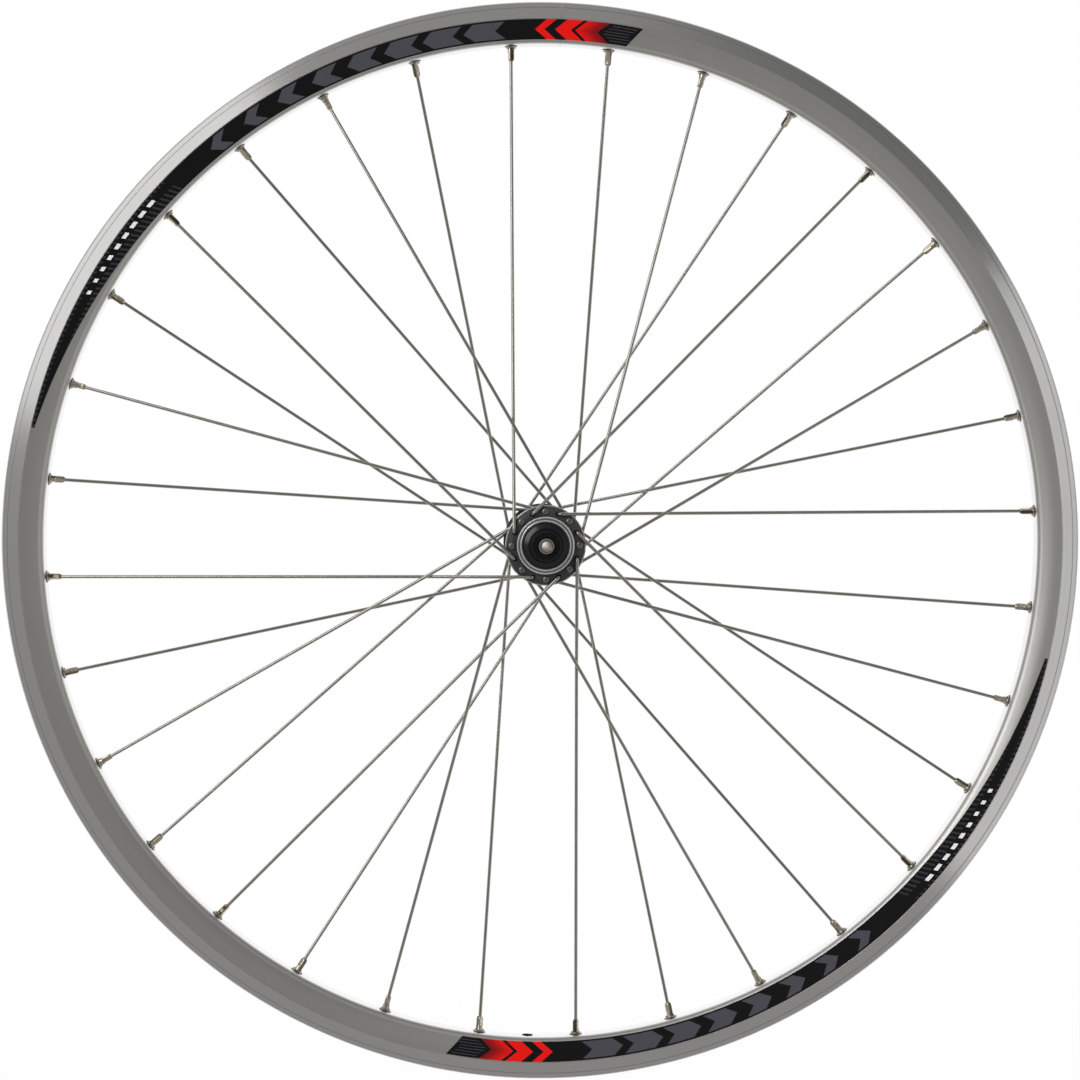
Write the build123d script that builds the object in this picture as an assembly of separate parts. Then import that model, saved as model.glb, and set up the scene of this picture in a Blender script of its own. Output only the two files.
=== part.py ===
from build123d import *
import math
import os

# A front bicycle wheel without its tyre: millimetres, axle along Y, valve hole straight down.
# Angles run clockwise from the top, seen from the right side of the bicycle (-Y).

# Rim
bead_seat_d = 622.0
flange_height = 6.0
rim_width = 20.0
rim_depth = 23.6
track_height = 9.4
track_step = 0.25
wear_groove_depth = 0.25
wear_groove_from_edge = 2.6
tip_round = 0.9
bed_width = 10.8
bed_round = 3.0
hook_bulge = 0.8
hook_height = 2.2
hook_slope = 0.8
flange_wall = 1.7
side_wall = 1.6
bed_wall = 2.2
tyre_bed_wall = 1.4
seat_ledge = 2.3
well_depth = 2.8
well_slope = 1.6
seam_gap = 0.12
sleeve_end_gap = 5.4
sleeve_gap = 0.15
valve_hole_d = 6.5

# Lacing, in groups of four spokes, two from each flange
spoke_groups = 8
crosses = 3
hub_windup = 3.0
spoke_d = 2.0
spoke_hole_gap = 0.25
spoke_head_overlap = 0.65
spoke_head_height = 1.0
elbow_inner_r = 1.0
crossing_bend_r = 60.0
crossing_gap = 0.15
thread_past_seat = 1.0

# Nipples and eyelets
nipple_length = 14.0
nipple_wall = 0.95
nipple_flat_depth = 0.4
nipple_neck = 6.6
nipple_tip_chamfer = 0.4
nipple_shoulder = 1.1
nipple_head_height = 2.0
nipple_seat_gap = 0.35
nipple_tilt_gap = 0.4
nipple_access_gap = 1.2
thread_gap = 0.05
eyelet_sleeve_wall = 0.4
eyelet_flange_reach = 0.9
eyelet_flange_t = 0.5
eyelet_lip_reach = 0.5
eyelet_lip_t = 0.4
eyelet_gap = 0.05

# Hub shell
flange_setback = 15.0
flange_t = 3.2
flange_margin = 3.8
flange_taper_in = 0.4
flange_taper_out = 1.1
spoke_hole_margin = 3.2
barrel_d = 23.0
barrel_wall = 3.0
flare_length = 11.4
housing_wall = 1.85
housing_floor = 1.0
edge_round = 0.6
root_round = 1.2
barrel_round = 9.0

# Bearings
bearing_inset = 0.5
ball_count = 10
ball_d = 4.7625
race_gap = 0.04
cup_wall = 2.7
cup_lip = 1.8
cup_web = 1.6
cup_bore_wall = 1.8
cone_wall = 2.36
cone_nose = 1.5
cone_shoulder_rise = 1.1
cone_shoulder_t = 2.6
cone_neck_wall = 3.0
retainer_t = 0.7
retainer_gap = 0.12
pocket_gap = 0.08
fit_gap = 0.02

# Axle and its fixings
over_locknuts = 100.0
axle_end = 4.0
axle_d = 9.0
axle_end_step = 0.2
axle_shoulder = 0.3
axle_chamfer = 0.5
skewer_d = 5.0
skewer_gap = 0.1
locknut_d = 17.4
locknut_t = 4.5
locknut_flat_depth = 1.2
locknut_rim_t = 1.5
locknut_chamfer = 0.7
washer_inset = 0.2
washer_t = 1.0
cap_overhang = 0.3
cap_t = 0.9
cap_bead_groove = 0.35
cap_sleeve_wall = 0.7
cap_sleeve_length = 1.7
seal_inset = 0.85
seal_top_overlap = 0.5
seal_lip_t = 1.1
seal_gap = 0.7
seal_top_gap = 0.4

# Rim stickers
sticker_count = 2
sticker_blunt_angle = 9.0
sticker_arc = 88.0
sticker_taper_arc = 36.0
sticker_margin = 0.3
sticker_slant = 8.0
sticker_t = 0.15
sticker_gap = 0.03

# The rim's radii, and its half widths along the axle
seat_r = bead_seat_d / 2
rim_r = seat_r + flange_height
well_r = seat_r - well_depth
bed_r = rim_r - rim_depth
bed_mid_r = bed_r + bed_wall / 2
track_low_r = rim_r - track_height
half_width = rim_width / 2
flange_inside_y = half_width - flange_wall
side_top_y = half_width - track_step
side_top_r = track_low_r - track_step
side_slope = (side_top_y - bed_width / 2) / (side_top_r - bed_r)
side_lean = math.atan(side_slope)
side_wall_y = side_wall / math.cos(side_lean)
side_low_r = bed_r + bed_round * math.cos(side_lean) / math.tan((math.pi / 2 + side_lean) / 2)

# Spokes, nipples and the eyelets they pass through
group_size = 4
spoke_count = spoke_groups * group_size
spoke_pitch = 360.0 / spoke_count
lace_angle = crosses * 2 * spoke_pitch
wire_r = spoke_d / 2
spoke_hole_r = wire_r + spoke_hole_gap
spoke_head_r = spoke_hole_r + spoke_head_overlap
elbow_bend_r = wire_r + elbow_inner_r
nipple_bore_r = wire_r + thread_gap
nipple_r = nipple_bore_r + nipple_wall
nipple_head_r = nipple_r + nipple_shoulder
access_hole_r = nipple_head_r + nipple_access_gap
eyelet_bore_r = nipple_r + nipple_tilt_gap
eyelet_sleeve_r = eyelet_bore_r + eyelet_sleeve_wall
eyelet_lip_r = eyelet_sleeve_r + eyelet_lip_reach
eyelet_flange_r = eyelet_sleeve_r + eyelet_flange_reach
nipple_seat = bed_wall / 2 + eyelet_gap + eyelet_lip_t + nipple_seat_gap
nipple_top = nipple_seat + nipple_head_height

# The hub's radii, from the axle outwards
axle_r = axle_d / 2
axle_end_r = axle_r - axle_end_step
axle_bore_r = skewer_d / 2 + skewer_gap
axle_hole_r = axle_r + fit_gap
ball_r = ball_d / 2
race_r = ball_r + race_gap
cone_low_r = axle_hole_r + cone_wall
cone_neck_r = axle_hole_r + cone_neck_wall
ball_circle_r = cone_low_r + race_r
cone_shoulder_r = ball_circle_r + cone_shoulder_rise
cup_inner_r = ball_circle_r + race_r
cup_r = cup_inner_r + cup_wall
cup_bore_r = ball_circle_r - cup_bore_wall
housing_r = cup_r + fit_gap + housing_wall
hole_circle_r = housing_r + spoke_hole_margin
flange_r = hole_circle_r + flange_margin
cap_opening_r = cup_r - fit_gap - cap_sleeve_wall
seal_r = cap_opening_r - seal_inset
locknut_r = locknut_d / 2

# Places along the axle, on the left
locknut_y = over_locknuts / 2
nut_seat_y = locknut_y - locknut_t
washer_y = nut_seat_y - washer_t
flange_y = locknut_y - flange_setback
flange_out_y = flange_y + flange_t / 2
flange_in_y = flange_y - flange_t / 2
bearing_y = flange_y - bearing_inset
cup_top_y = bearing_y + cup_lip
cup_floor_y = bearing_y - race_r
cup_back_y = cup_floor_y - cup_web
cone_shoulder_y = bearing_y + race_r
hub_end_y = cup_top_y + cap_sleeve_length
cap_low_y = hub_end_y + fit_gap
cap_face_y = cap_low_y + cap_t
housing_y = cup_back_y - fit_gap - housing_floor
sides = {"right": -1, "left": 1}


def outward(angle, radius, y=0.0):
    # The point at an angle from the top, a radius from the axle and a place along it.
    turn = math.radians(angle)
    return Vector(radius * math.sin(turn), y, radius * math.cos(turn))


def radial(angle, radius):
    # A place on the wheel's middle plane whose Z points away from the axle.
    return Plane(outward(angle, radius), x_dir=(0, 1, 0), z_dir=outward(angle, 1.0))


def turned(shape, angle):
    return Rot(0, angle, 0) * shape


def profile(points):
    # A closed section from (radius, y) points.
    return make_face(Polyline(*points, close=True))


def rounded(section, corners, radius):
    # The same section with the corners nearest the given points rounded.
    picked = [section.vertices().sort_by_distance(Vector(r, y))[0] for r, y in corners]
    return fillet(picked, radius)


def mirrored_points(points):
    # A half section's points, then the same points on the other side of the middle plane.
    return points + [(r, -y) for r, y in reversed(points)]


def spin(section):
    return revolve(section, Axis.Y, 360)


def on_side(shape, side):
    # Shapes are drawn on the left, and the right one is their mirror image.
    if side == "left":
        return shape
    return mirror(shape, about=Plane.XZ)


def side_y(radius):
    # Half the rim's width at a radius on its sloping sidewall.
    return bed_width / 2 + (radius - bed_r) * side_slope


def rim_outline():
    hook_y = flange_inside_y - hook_bulge
    ledge_y = flange_inside_y - seat_ledge
    hook_low = rim_r - hook_height
    groove_r = rim_r - wear_groove_from_edge
    half = [
        (well_r, ledge_y - well_slope),
        (seat_r, ledge_y),
        (seat_r, flange_inside_y),
        (hook_low - hook_slope, flange_inside_y),
        (hook_low, hook_y),
        (rim_r, hook_y),
        (rim_r, half_width),
        (groove_r + wear_groove_depth, half_width),
        (groove_r, half_width - wear_groove_depth),
        (groove_r - wear_groove_depth, half_width),
        (track_low_r, half_width),
        (side_top_r, side_top_y),
        (bed_r, bed_width / 2),
    ]
    section = profile(mirrored_points(half))
    tips = [(rim_r, half_width), (rim_r, hook_y), (rim_r, -half_width), (rim_r, -hook_y)]
    section = rounded(section, tips, tip_round)
    return rounded(section, [(bed_r, bed_width / 2), (bed_r, -bed_width / 2)], bed_round)


def rim_hollow(gap=0.0):
    # The closed box inside the rim, drawn smaller all round by a gap for what fits in it.
    low_r = bed_r + bed_wall + gap
    shelf_r = seat_r - tyre_bed_wall - gap
    well_under_r = well_r - tyre_bed_wall - gap
    ledge_y = flange_inside_y - seat_ledge
    high_y = side_y(side_top_r) - side_wall_y - gap
    half = [
        (well_under_r, ledge_y - well_slope),
        (shelf_r, ledge_y),
        (shelf_r, high_y),
        (side_top_r, high_y),
        (low_r, side_y(low_r) - side_wall_y - gap),
    ]
    return profile(mirrored_points(half))


def rim_angle(number):
    return (number - 0.5) * spoke_pitch


def make_rim():
    ring = spin(rim_outline() - rim_hollow())
    eyelet_hole_r = eyelet_sleeve_r + eyelet_gap
    tools = []
    for number in range(spoke_count):
        angle = rim_angle(number)
        tools.append(radial(angle, bed_mid_r).location * Cylinder(eyelet_hole_r, 2 * bed_wall))
        tools.append(radial(angle, well_r).location * Cylinder(access_hole_r, 3 * tyre_bed_wall))
    tools.append(radial(180, rim_r - rim_depth / 2).location * Cylinder(valve_hole_d / 2, 2 * rim_depth))
    tools.append(radial(0, rim_r).location * Box(2 * rim_width, seam_gap, 3 * rim_depth))
    return ring.cut(*[tool.solid() for tool in tools])


def make_joint_sleeve():
    # The plug that holds the two ends of the rim together, as long as the eyelets beside the seam allow.
    arc = spoke_pitch - 2 * math.degrees((eyelet_lip_r + sleeve_end_gap) / bed_mid_r)
    return turned(revolve(rim_hollow(sleeve_gap), Axis.Y, arc), -90 - arc / 2)


def make_eyelet():
    # Drawn about its own axis, with Z away from the axle and zero in the middle of the spoke bed.
    low = -bed_wall / 2 - eyelet_gap
    high = bed_wall / 2 + eyelet_gap
    points = [
        (eyelet_bore_r, low - eyelet_flange_t),
        (eyelet_flange_r, low - eyelet_flange_t),
        (eyelet_flange_r, low),
        (eyelet_sleeve_r, low),
        (eyelet_sleeve_r, high),
        (eyelet_lip_r, high),
        (eyelet_lip_r, high + eyelet_lip_t),
        (eyelet_bore_r, high + eyelet_lip_t),
    ]
    section = rounded(profile(points), [points[1]], eyelet_flange_t / 2)
    return Rot(90, 0, 0) * spin(section)


def hub_angle(number):
    # Spokes 0 and 3 of each four trail from the hub, and 1 and 2 lead.
    turn = -lace_angle if runs_outside(number) else lace_angle
    return rim_angle(number) + turn + hub_windup


def runs_outside(number):
    return number % group_size in (0, 3)


def spoke_side(number):
    return -1 if number % 2 == 0 else 1


def partner(number):
    # The spoke of the same flange that this one is woven with at its last crossing.
    return number - 2 if runs_outside(number) else number + 2


def elbow_y(number):
    if runs_outside(number):
        return flange_out_y + elbow_bend_r
    return flange_in_y - elbow_bend_r


def last_crossing(number):
    # The point where two woven spokes pass, and how far along this one it lies, from 0 to 1.
    start = outward(hub_angle(number), hole_circle_r)
    run = outward(rim_angle(number), bed_mid_r) - start
    other = partner(number)
    other_start = outward(hub_angle(other), hole_circle_r)
    other_run = outward(rim_angle(other), bed_mid_r) - other_start
    share = (other_start - start).cross(other_run).Y / run.cross(other_run).Y
    return start + run * share, share


def spoke_corners(number):
    # The head, the elbow, the bend at the last crossing and the hole in the rim.
    side = spoke_side(number)
    hole = outward(hub_angle(number), hole_circle_r)
    cross, share = last_crossing(number)
    other_share = last_crossing(partner(number))[1]
    straight_y = elbow_y(number) * (1 - share)
    other_y = elbow_y(partner(number)) * (1 - other_share)
    apart = (spoke_d + crossing_gap) / 2
    woven_y = (straight_y + other_y) / 2 + (-apart if runs_outside(number) else apart)
    head_y = flange_in_y if runs_outside(number) else flange_out_y
    return (
        Vector(hole.X, side * head_y, hole.Z),
        Vector(hole.X, side * elbow_y(number), hole.Z),
        Vector(cross.X, side * woven_y, cross.Z),
        outward(rim_angle(number), bed_mid_r),
    )


def make_spoke(number):
    head, elbow, cross, rim_hole = spoke_corners(number)
    run = (rim_hole - cross).normalized()
    end = rim_hole + run * (nipple_seat + thread_past_seat)
    shank = (elbow - head).normalized()
    top = head - shank * spoke_head_height
    path = FilletPolyline(top, elbow, cross, end, radius=[elbow_bend_r, crossing_bend_r])
    wire = sweep(Plane(top, z_dir=shank) * Circle(wire_r), path=path)
    half = spoke_head_height / 2
    under = Pos(0, 0, half / 2) * Cone(spoke_head_r, wire_r, half)
    cap = Pos(0, 0, -half / 2) * Cylinder(spoke_head_r, half)
    button = Plane(head - shank * half, z_dir=shank).location * (under + cap)
    return (wire + button).solid()


def make_nipple():
    # Drawn about its own axis, with Z along the spoke and zero in the middle of the spoke bed.
    tip = nipple_top - nipple_length
    points = [
        (nipple_bore_r, tip),
        (nipple_r - nipple_tip_chamfer, tip),
        (nipple_r, tip + nipple_tip_chamfer),
        (nipple_r, nipple_seat),
        (nipple_head_r, nipple_seat + nipple_shoulder),
        (nipple_head_r, nipple_top),
        (nipple_bore_r, nipple_top),
    ]
    body = Rot(90, 0, 0) * spin(profile(points))
    flats_length = nipple_seat - nipple_neck - tip
    across = 2 * (nipple_r - nipple_flat_depth)
    outside = Box(4 * nipple_r, 4 * nipple_r, flats_length) - Box(across, across, flats_length)
    return body - Pos(0, 0, tip + flats_length / 2) * outside


def nipple_place(number):
    _, _, cross, rim_hole = spoke_corners(number)
    return Plane(rim_hole, x_dir=(0, 1, 0), z_dir=rim_hole - cross).location


def make_hub_shell():
    cup_seat_r = cup_r + fit_gap
    hub_bore_r = barrel_d / 2 - barrel_wall
    flare = (barrel_d / 2, housing_y - flare_length)
    root = (housing_r, flange_in_y)
    edges = [(flange_r, flange_in_y + flange_taper_in), (flange_r, flange_out_y - flange_taper_out)]
    half = [
        flare,
        (housing_r, housing_y),
        root,
        (hole_circle_r, flange_in_y),
        *edges,
        (hole_circle_r, flange_out_y),
        (housing_r, flange_out_y),
        (housing_r, hub_end_y),
        (cup_seat_r, hub_end_y),
        (cup_seat_r, cup_back_y - fit_gap),
        (hub_bore_r, cup_back_y - fit_gap),
    ]
    section = profile(mirrored_points(half))
    for side in sides.values():
        section = rounded(section, [(r, y * side) for r, y in edges], edge_round)
        section = rounded(section, [(root[0], root[1] * side)], root_round)
        section = rounded(section, [(flare[0], flare[1] * side)], barrel_round)
    shell = spin(section)
    drills = []
    for number in range(spoke_count):
        hole = outward(hub_angle(number), hole_circle_r, spoke_side(number) * flange_y)
        drills.append((Pos(hole) * Rot(90, 0, 0) * Cylinder(spoke_hole_r, 2 * flange_t)).solid())
    return shell.cut(*drills)


def make_cup():
    # The pressed-in outer race, open towards the end of the axle.
    diagonal = race_r * math.sqrt(0.5)
    start = (cup_inner_r, bearing_y)
    end = (ball_circle_r, cup_floor_y)
    arc = ThreePointArc(start, (ball_circle_r + diagonal, bearing_y - diagonal), end)
    rest = Polyline(
        end,
        (cup_bore_r, cup_floor_y),
        (cup_bore_r, cup_back_y),
        (cup_r, cup_back_y),
        (cup_r, cup_top_y),
        (cup_inner_r, cup_top_y),
        start,
    )
    return spin(make_face([arc, rest]))


def make_cone():
    # The inner race on the axle: its nose, the curved track, the shoulder and the neck.
    diagonal = race_r * math.sqrt(0.5)
    start = (cone_low_r, bearing_y)
    end = (ball_circle_r, cone_shoulder_y)
    arc = ThreePointArc(start, (ball_circle_r - diagonal, bearing_y + diagonal), end)
    rest = Polyline(
        end,
        (cone_shoulder_r, cone_shoulder_y),
        (cone_shoulder_r, cone_shoulder_y + cone_shoulder_t),
        (cone_neck_r, cone_shoulder_y + cone_shoulder_t),
        (cone_neck_r, washer_y),
        (axle_hole_r, washer_y),
        (axle_hole_r, bearing_y - cone_nose),
        (cone_low_r, bearing_y - cone_nose),
        start,
    )
    return spin(make_face([arc, rest]))


def ball_centres():
    step = 360.0 / ball_count
    return [outward(step * i, ball_circle_r, bearing_y) for i in range(ball_count)]


def make_balls():
    return Compound([(Pos(centre) * Sphere(ball_r)).solid() for centre in ball_centres()])


def make_retainer():
    # The sheet ring that keeps the balls apart, on the open side of the cup.
    outer = cup_inner_r - retainer_gap
    lift = race_r - retainer_gap
    high = bearing_y + lift
    inner = ball_circle_r - math.sqrt(race_r**2 - lift**2) + retainer_gap
    ring = spin(profile([
        (inner, high - retainer_t),
        (outer, high - retainer_t),
        (outer, high),
        (inner, high),
    ]))
    return ring.cut(*[(Pos(centre) * Sphere(ball_r + pocket_gap)).solid() for centre in ball_centres()])


def make_dust_cap():
    # The bright pressed ring over the end of the hub, with a groove between two beads.
    sleeve_r = cup_r - fit_gap
    outer = housing_r + cap_overhang
    mid = (outer + cap_opening_r) / 2
    beads = [(outer, cap_face_y), (cap_opening_r, cap_face_y)]
    points = [
        (cap_opening_r, cup_top_y + fit_gap),
        (sleeve_r, cup_top_y + fit_gap),
        (sleeve_r, cap_low_y),
        (outer, cap_low_y),
        beads[0],
        (mid + cap_bead_groove, cap_face_y),
        (mid, cap_face_y - cap_bead_groove),
        (mid - cap_bead_groove, cap_face_y),
        beads[1],
    ]
    return spin(rounded(profile(points), beads, cap_bead_groove))


def make_seal():
    # The rubber boot on the cone's neck, sloping from the locknut to the dust cap.
    low_y = cap_face_y + seal_gap
    top_y = nut_seat_y - seal_top_gap
    neck_r = cone_neck_r + fit_gap
    shoulder_y = cone_shoulder_y + cone_shoulder_t + fit_gap
    return spin(profile([
        (cone_shoulder_r + fit_gap, low_y),
        (seal_r, low_y),
        (seal_r, low_y + seal_lip_t),
        (locknut_r + seal_top_overlap, top_y),
        (neck_r, top_y),
        (neck_r, shoulder_y),
        (cone_shoulder_r + fit_gap, shoulder_y),
    ]))


def make_washer():
    outer = cone_neck_r - washer_inset
    return spin(profile([
        (axle_hole_r, washer_y),
        (outer, washer_y),
        (outer, nut_seat_y),
        (axle_hole_r, nut_seat_y),
    ]))


def make_locknut():
    body = spin(profile([
        (axle_hole_r, nut_seat_y),
        (locknut_r, nut_seat_y),
        (locknut_r, locknut_y - locknut_chamfer),
        (locknut_r - locknut_chamfer, locknut_y),
        (axle_hole_r + locknut_chamfer, locknut_y),
        (axle_hole_r, locknut_y - locknut_chamfer),
    ]))
    flats_t = locknut_t - locknut_rim_t
    across = locknut_d - 2 * locknut_flat_depth
    outside = Box(2 * locknut_d, flats_t, 2 * locknut_d) - Box(2 * locknut_d, flats_t, across)
    return body - Pos(0, nut_seat_y + flats_t / 2, 0) * outside


def make_axle():
    # A threaded tube whose plain ends stand out of the locknuts for the fork.
    half = locknut_y + axle_end
    return spin(profile(mirrored_points([
        (axle_bore_r, half),
        (axle_end_r - axle_chamfer, half),
        (axle_end_r, half - axle_chamfer),
        (axle_end_r, locknut_y + axle_shoulder),
        (axle_r, locknut_y + axle_shoulder),
    ])))


def make_sticker(index):
    # A thin band on the right sidewall: a slanted end, a full stretch and a long taper to a point.
    high_r = side_top_r - sticker_margin
    low_r = side_low_r + sticker_margin
    height = high_r - low_r
    lift = sticker_gap / math.cos(side_lean)
    top = (sticker_gap + sticker_t) / math.cos(side_lean)
    band = profile([
        (low_r, -side_y(low_r) - lift),
        (high_r, -side_y(high_r) - lift),
        (high_r, -side_y(high_r) - top),
        (low_r, -side_y(low_r) - top),
    ])
    taper_angle = sticker_blunt_angle - sticker_arc + sticker_taper_arc
    full = turned(revolve(band, Axis.Y, sticker_arc - sticker_taper_arc), taper_angle - 90)
    taper = turned(revolve(band, Axis.Y, sticker_taper_arc), taper_angle - sticker_taper_arc - 90)
    # A round cutter set off the axle touches the band's inner edge and leaves through its outer edge.
    shift = height / (1 - math.cos(math.radians(sticker_taper_arc)))
    cutter = Pos(outward(taper_angle + 180, shift)) * Rot(90, 0, 0) * Cylinder(low_r + shift, 2 * rim_width)
    corner = outward(sticker_blunt_angle, high_r)
    along = outward(sticker_blunt_angle + 90, 1.0)
    slant = outward(sticker_blunt_angle, height) + along * sticker_slant
    end = Plane(corner, x_dir=slant, z_dir=(0, 1, 0)).location
    waste = end * Pos(0, sticker_slant, 0) * Box(4 * height, 2 * sticker_slant, 2 * rim_width)
    sticker = full + (taper - cutter) - waste
    return turned(sticker, index * 360.0 / sticker_count).solid()


os.makedirs("parts", exist_ok=True)


def save(shape, name):
    export_step(shape, f"parts/{name}.step")


save(make_rim(), "rim")
save(make_joint_sleeve(), "rim_joint_sleeve")
eyelet = make_eyelet()
eyelets = [radial(rim_angle(n), bed_mid_r).location * eyelet for n in range(spoke_count)]
save(Compound(eyelets), "rim_eyelets")

nipple = make_nipple()
nipples = []
for base in range(group_size):
    spoke = make_spoke(base)
    seated = nipple_place(base) * nipple
    for group in range(spoke_groups):
        number = base + group * group_size
        angle = group * group_size * spoke_pitch
        save(turned(spoke, angle), f"spoke_{number + 1:02d}")
        nipples.append(turned(seated, angle).solid())
save(Compound(nipples), "spoke_nipples")

save(make_hub_shell(), "hub_shell")
save(make_axle(), "axle")
paired = {
    "bearing_cup": make_cup(),
    "bearing_cone": make_cone(),
    "bearing_balls": make_balls(),
    "ball_retainer": make_retainer(),
    "dust_cap": make_dust_cap(),
    "dust_seal": make_seal(),
    "lock_washer": make_washer(),
    "locknut": make_locknut(),
}
for name, shape in paired.items():
    for side in sides:
        save(on_side(shape, side), f"{name}_{side}")

for index in range(sticker_count):
    sticker = make_sticker(index)
    save(sticker, f"rim_sticker_right_{index + 1}")
    save(Rot(0, 0, 180) * sticker, f"rim_sticker_left_{index + 1}")
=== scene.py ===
import math

import bpy
from mathutils import Matrix, Vector


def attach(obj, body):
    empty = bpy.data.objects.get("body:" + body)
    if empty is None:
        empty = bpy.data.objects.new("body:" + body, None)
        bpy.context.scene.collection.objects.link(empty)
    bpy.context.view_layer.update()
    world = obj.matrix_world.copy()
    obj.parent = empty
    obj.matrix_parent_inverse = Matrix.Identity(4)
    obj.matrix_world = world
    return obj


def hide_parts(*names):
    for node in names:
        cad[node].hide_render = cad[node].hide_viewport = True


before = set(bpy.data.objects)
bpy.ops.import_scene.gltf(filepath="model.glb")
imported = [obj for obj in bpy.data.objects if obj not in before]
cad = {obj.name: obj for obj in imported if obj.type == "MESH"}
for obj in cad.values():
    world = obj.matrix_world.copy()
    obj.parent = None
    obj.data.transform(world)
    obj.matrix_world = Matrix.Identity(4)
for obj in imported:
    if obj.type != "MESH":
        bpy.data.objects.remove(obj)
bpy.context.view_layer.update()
mm = 0.001
sideSigns = {"right": -1, "left": 1}
print("frame loaded:", len(cad), "nodes")


# Node building: a wire is one node output, so that maths reads as plain sums

def mathsOperator(operation, reflected=False):
    def apply(wire, other):
        pair = (other, wire) if reflected else (wire, other)
        return wire.kit.add("ShaderNodeMath", {"operation": operation}, dict(enumerate(pair)))
    return apply


class Wire:
    def __init__(self, kit, socket):
        self.kit = kit
        self.socket = socket

    def out(self, name):
        return Wire(self.kit, self.socket.node.outputs[name])

    def swing(self, amount):
        # a pattern's play about its middle
        return (self - 0.5) * amount

    __add__ = mathsOperator("ADD")
    __radd__ = mathsOperator("ADD", reflected=True)
    __sub__ = mathsOperator("SUBTRACT")
    __rsub__ = mathsOperator("SUBTRACT", reflected=True)
    __mul__ = mathsOperator("MULTIPLY")
    __rmul__ = mathsOperator("MULTIPLY", reflected=True)
    __truediv__ = mathsOperator("DIVIDE")
    __rtruediv__ = mathsOperator("DIVIDE", reflected=True)
    __gt__ = mathsOperator("GREATER_THAN")
    __lt__ = mathsOperator("LESS_THAN")


class NodeKit:
    def __init__(self, tree):
        self.tree = tree

    def add(self, kind, settings=None, sockets=None, out=0):
        node = self.tree.nodes.new(kind)
        for key, value in (settings or {}).items():
            setattr(node, key, value)
        for key, value in (sockets or {}).items():
            if isinstance(value, Wire):
                self.tree.links.new(value.socket, node.inputs[key])
            else:
                node.inputs[key].default_value = value
        return Wire(self, node.outputs[out] if node.outputs else None)

    def call(self, operation, value, other=0.0):
        return self.add("ShaderNodeMath", {"operation": operation}, {0: value, 1: other})

    def vector(self, operation, first, second=(0, 0, 0), out=0):
        return self.add("ShaderNodeVectorMath", {"operation": operation}, {0: first, 1: second}, out)

    def scaled(self, vector, factor):
        return self.add("ShaderNodeVectorMath", {"operation": "SCALE"}, {0: vector, "Scale": factor})

    def part(self, vector, axis):
        return self.add("ShaderNodeSeparateXYZ", {}, {0: vector}, axis)

    def blend(self, factor, first, second):
        return self.add("ShaderNodeMix", {"data_type": "RGBA"}, {0: factor, 6: first, 7: second}, 2)

    def ramp(self, value, low, high, toLow=0.0, toHigh=1.0):
        sockets = {0: value, 1: low, 2: high, 3: toLow, 4: toHigh}
        return self.add("ShaderNodeMapRange", {"interpolation_type": "SMOOTHSTEP"}, sockets)

    def fade(self, value, first, second, start=0.3, end=0.7):
        # one colour into another as a value rises; as it stands, in the soft patches of a noise
        return self.blend(self.ramp(value, start, end), first, second)

    def line(self, value, middle, half, core):
        # full within core of the middle, gone beyond half
        return self.ramp(self.call("ABSOLUTE", value - middle), half, core)

    def noise(self, where, scale, detail=2.0):
        return self.add("ShaderNodeTexNoise", {}, {"Vector": where, "Scale": scale, "Detail": detail})

    def lineNoise(self, where, scale, detail=2.0):
        settings = {"noise_dimensions": "1D"}
        return self.add("ShaderNodeTexNoise", settings, {"W": where, "Scale": scale, "Detail": detail})

    def bump(self, height, strength, distance):
        return self.add("ShaderNodeBump", {}, {"Height": height, "Strength": strength, "Distance": distance})


def rgb(red, green, blue):
    return (red, green, blue, 1.0)


def startMaterial(name):
    material = bpy.data.materials.new(name)
    material.use_nodes = True
    material.node_tree.nodes.clear()
    return material, NodeKit(material.node_tree)


def endMaterial(material, kit, sockets):
    shader = kit.add("ShaderNodeBsdfPrincipled", {}, sockets)
    kit.add("ShaderNodeOutputMaterial", {}, {"Surface": shader})
    return material


def objectPlace(kit):
    return kit.add("ShaderNodeTexCoord", out="Object")


def offAxle(kit, place):
    # the way from the axle to a place, and how far that is
    way = kit.vector("MULTIPLY", place, (1, 0, 1))
    return way, kit.vector("LENGTH", way, out="Value")


def leanNormal(kit, way, slope):
    # tips the surface along the radius
    settings = {"vector_type": "VECTOR", "convert_from": "OBJECT", "convert_to": "WORLD"}
    outward = kit.add("ShaderNodeVectorTransform", settings, {0: kit.vector("NORMALIZE", way)})
    surface = kit.add("ShaderNodeNewGeometry", out="Normal")
    return kit.vector("NORMALIZE", kit.vector("ADD", surface, kit.scaled(outward, slope)))


def turnedNormal(kit, way, radius, f):
    # lathe marks lean the normal in and out along the radius, which spreads reflections that way only
    marks = kit.lineNoise(radius, 1.0 / f["pitch"], detail=3.0)
    return leanNormal(kit, way, marks.swing(f["tilt"]))


def turnedRings(kit, place, radius, f):
    # broad rings of tone, a few marks wide, that run on round the barrel
    slanted = radius + kit.part(place, "Y") * f["ringSlant"]
    return kit.lineNoise(slanted, 1.0 / f["ringPitch"])


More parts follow.
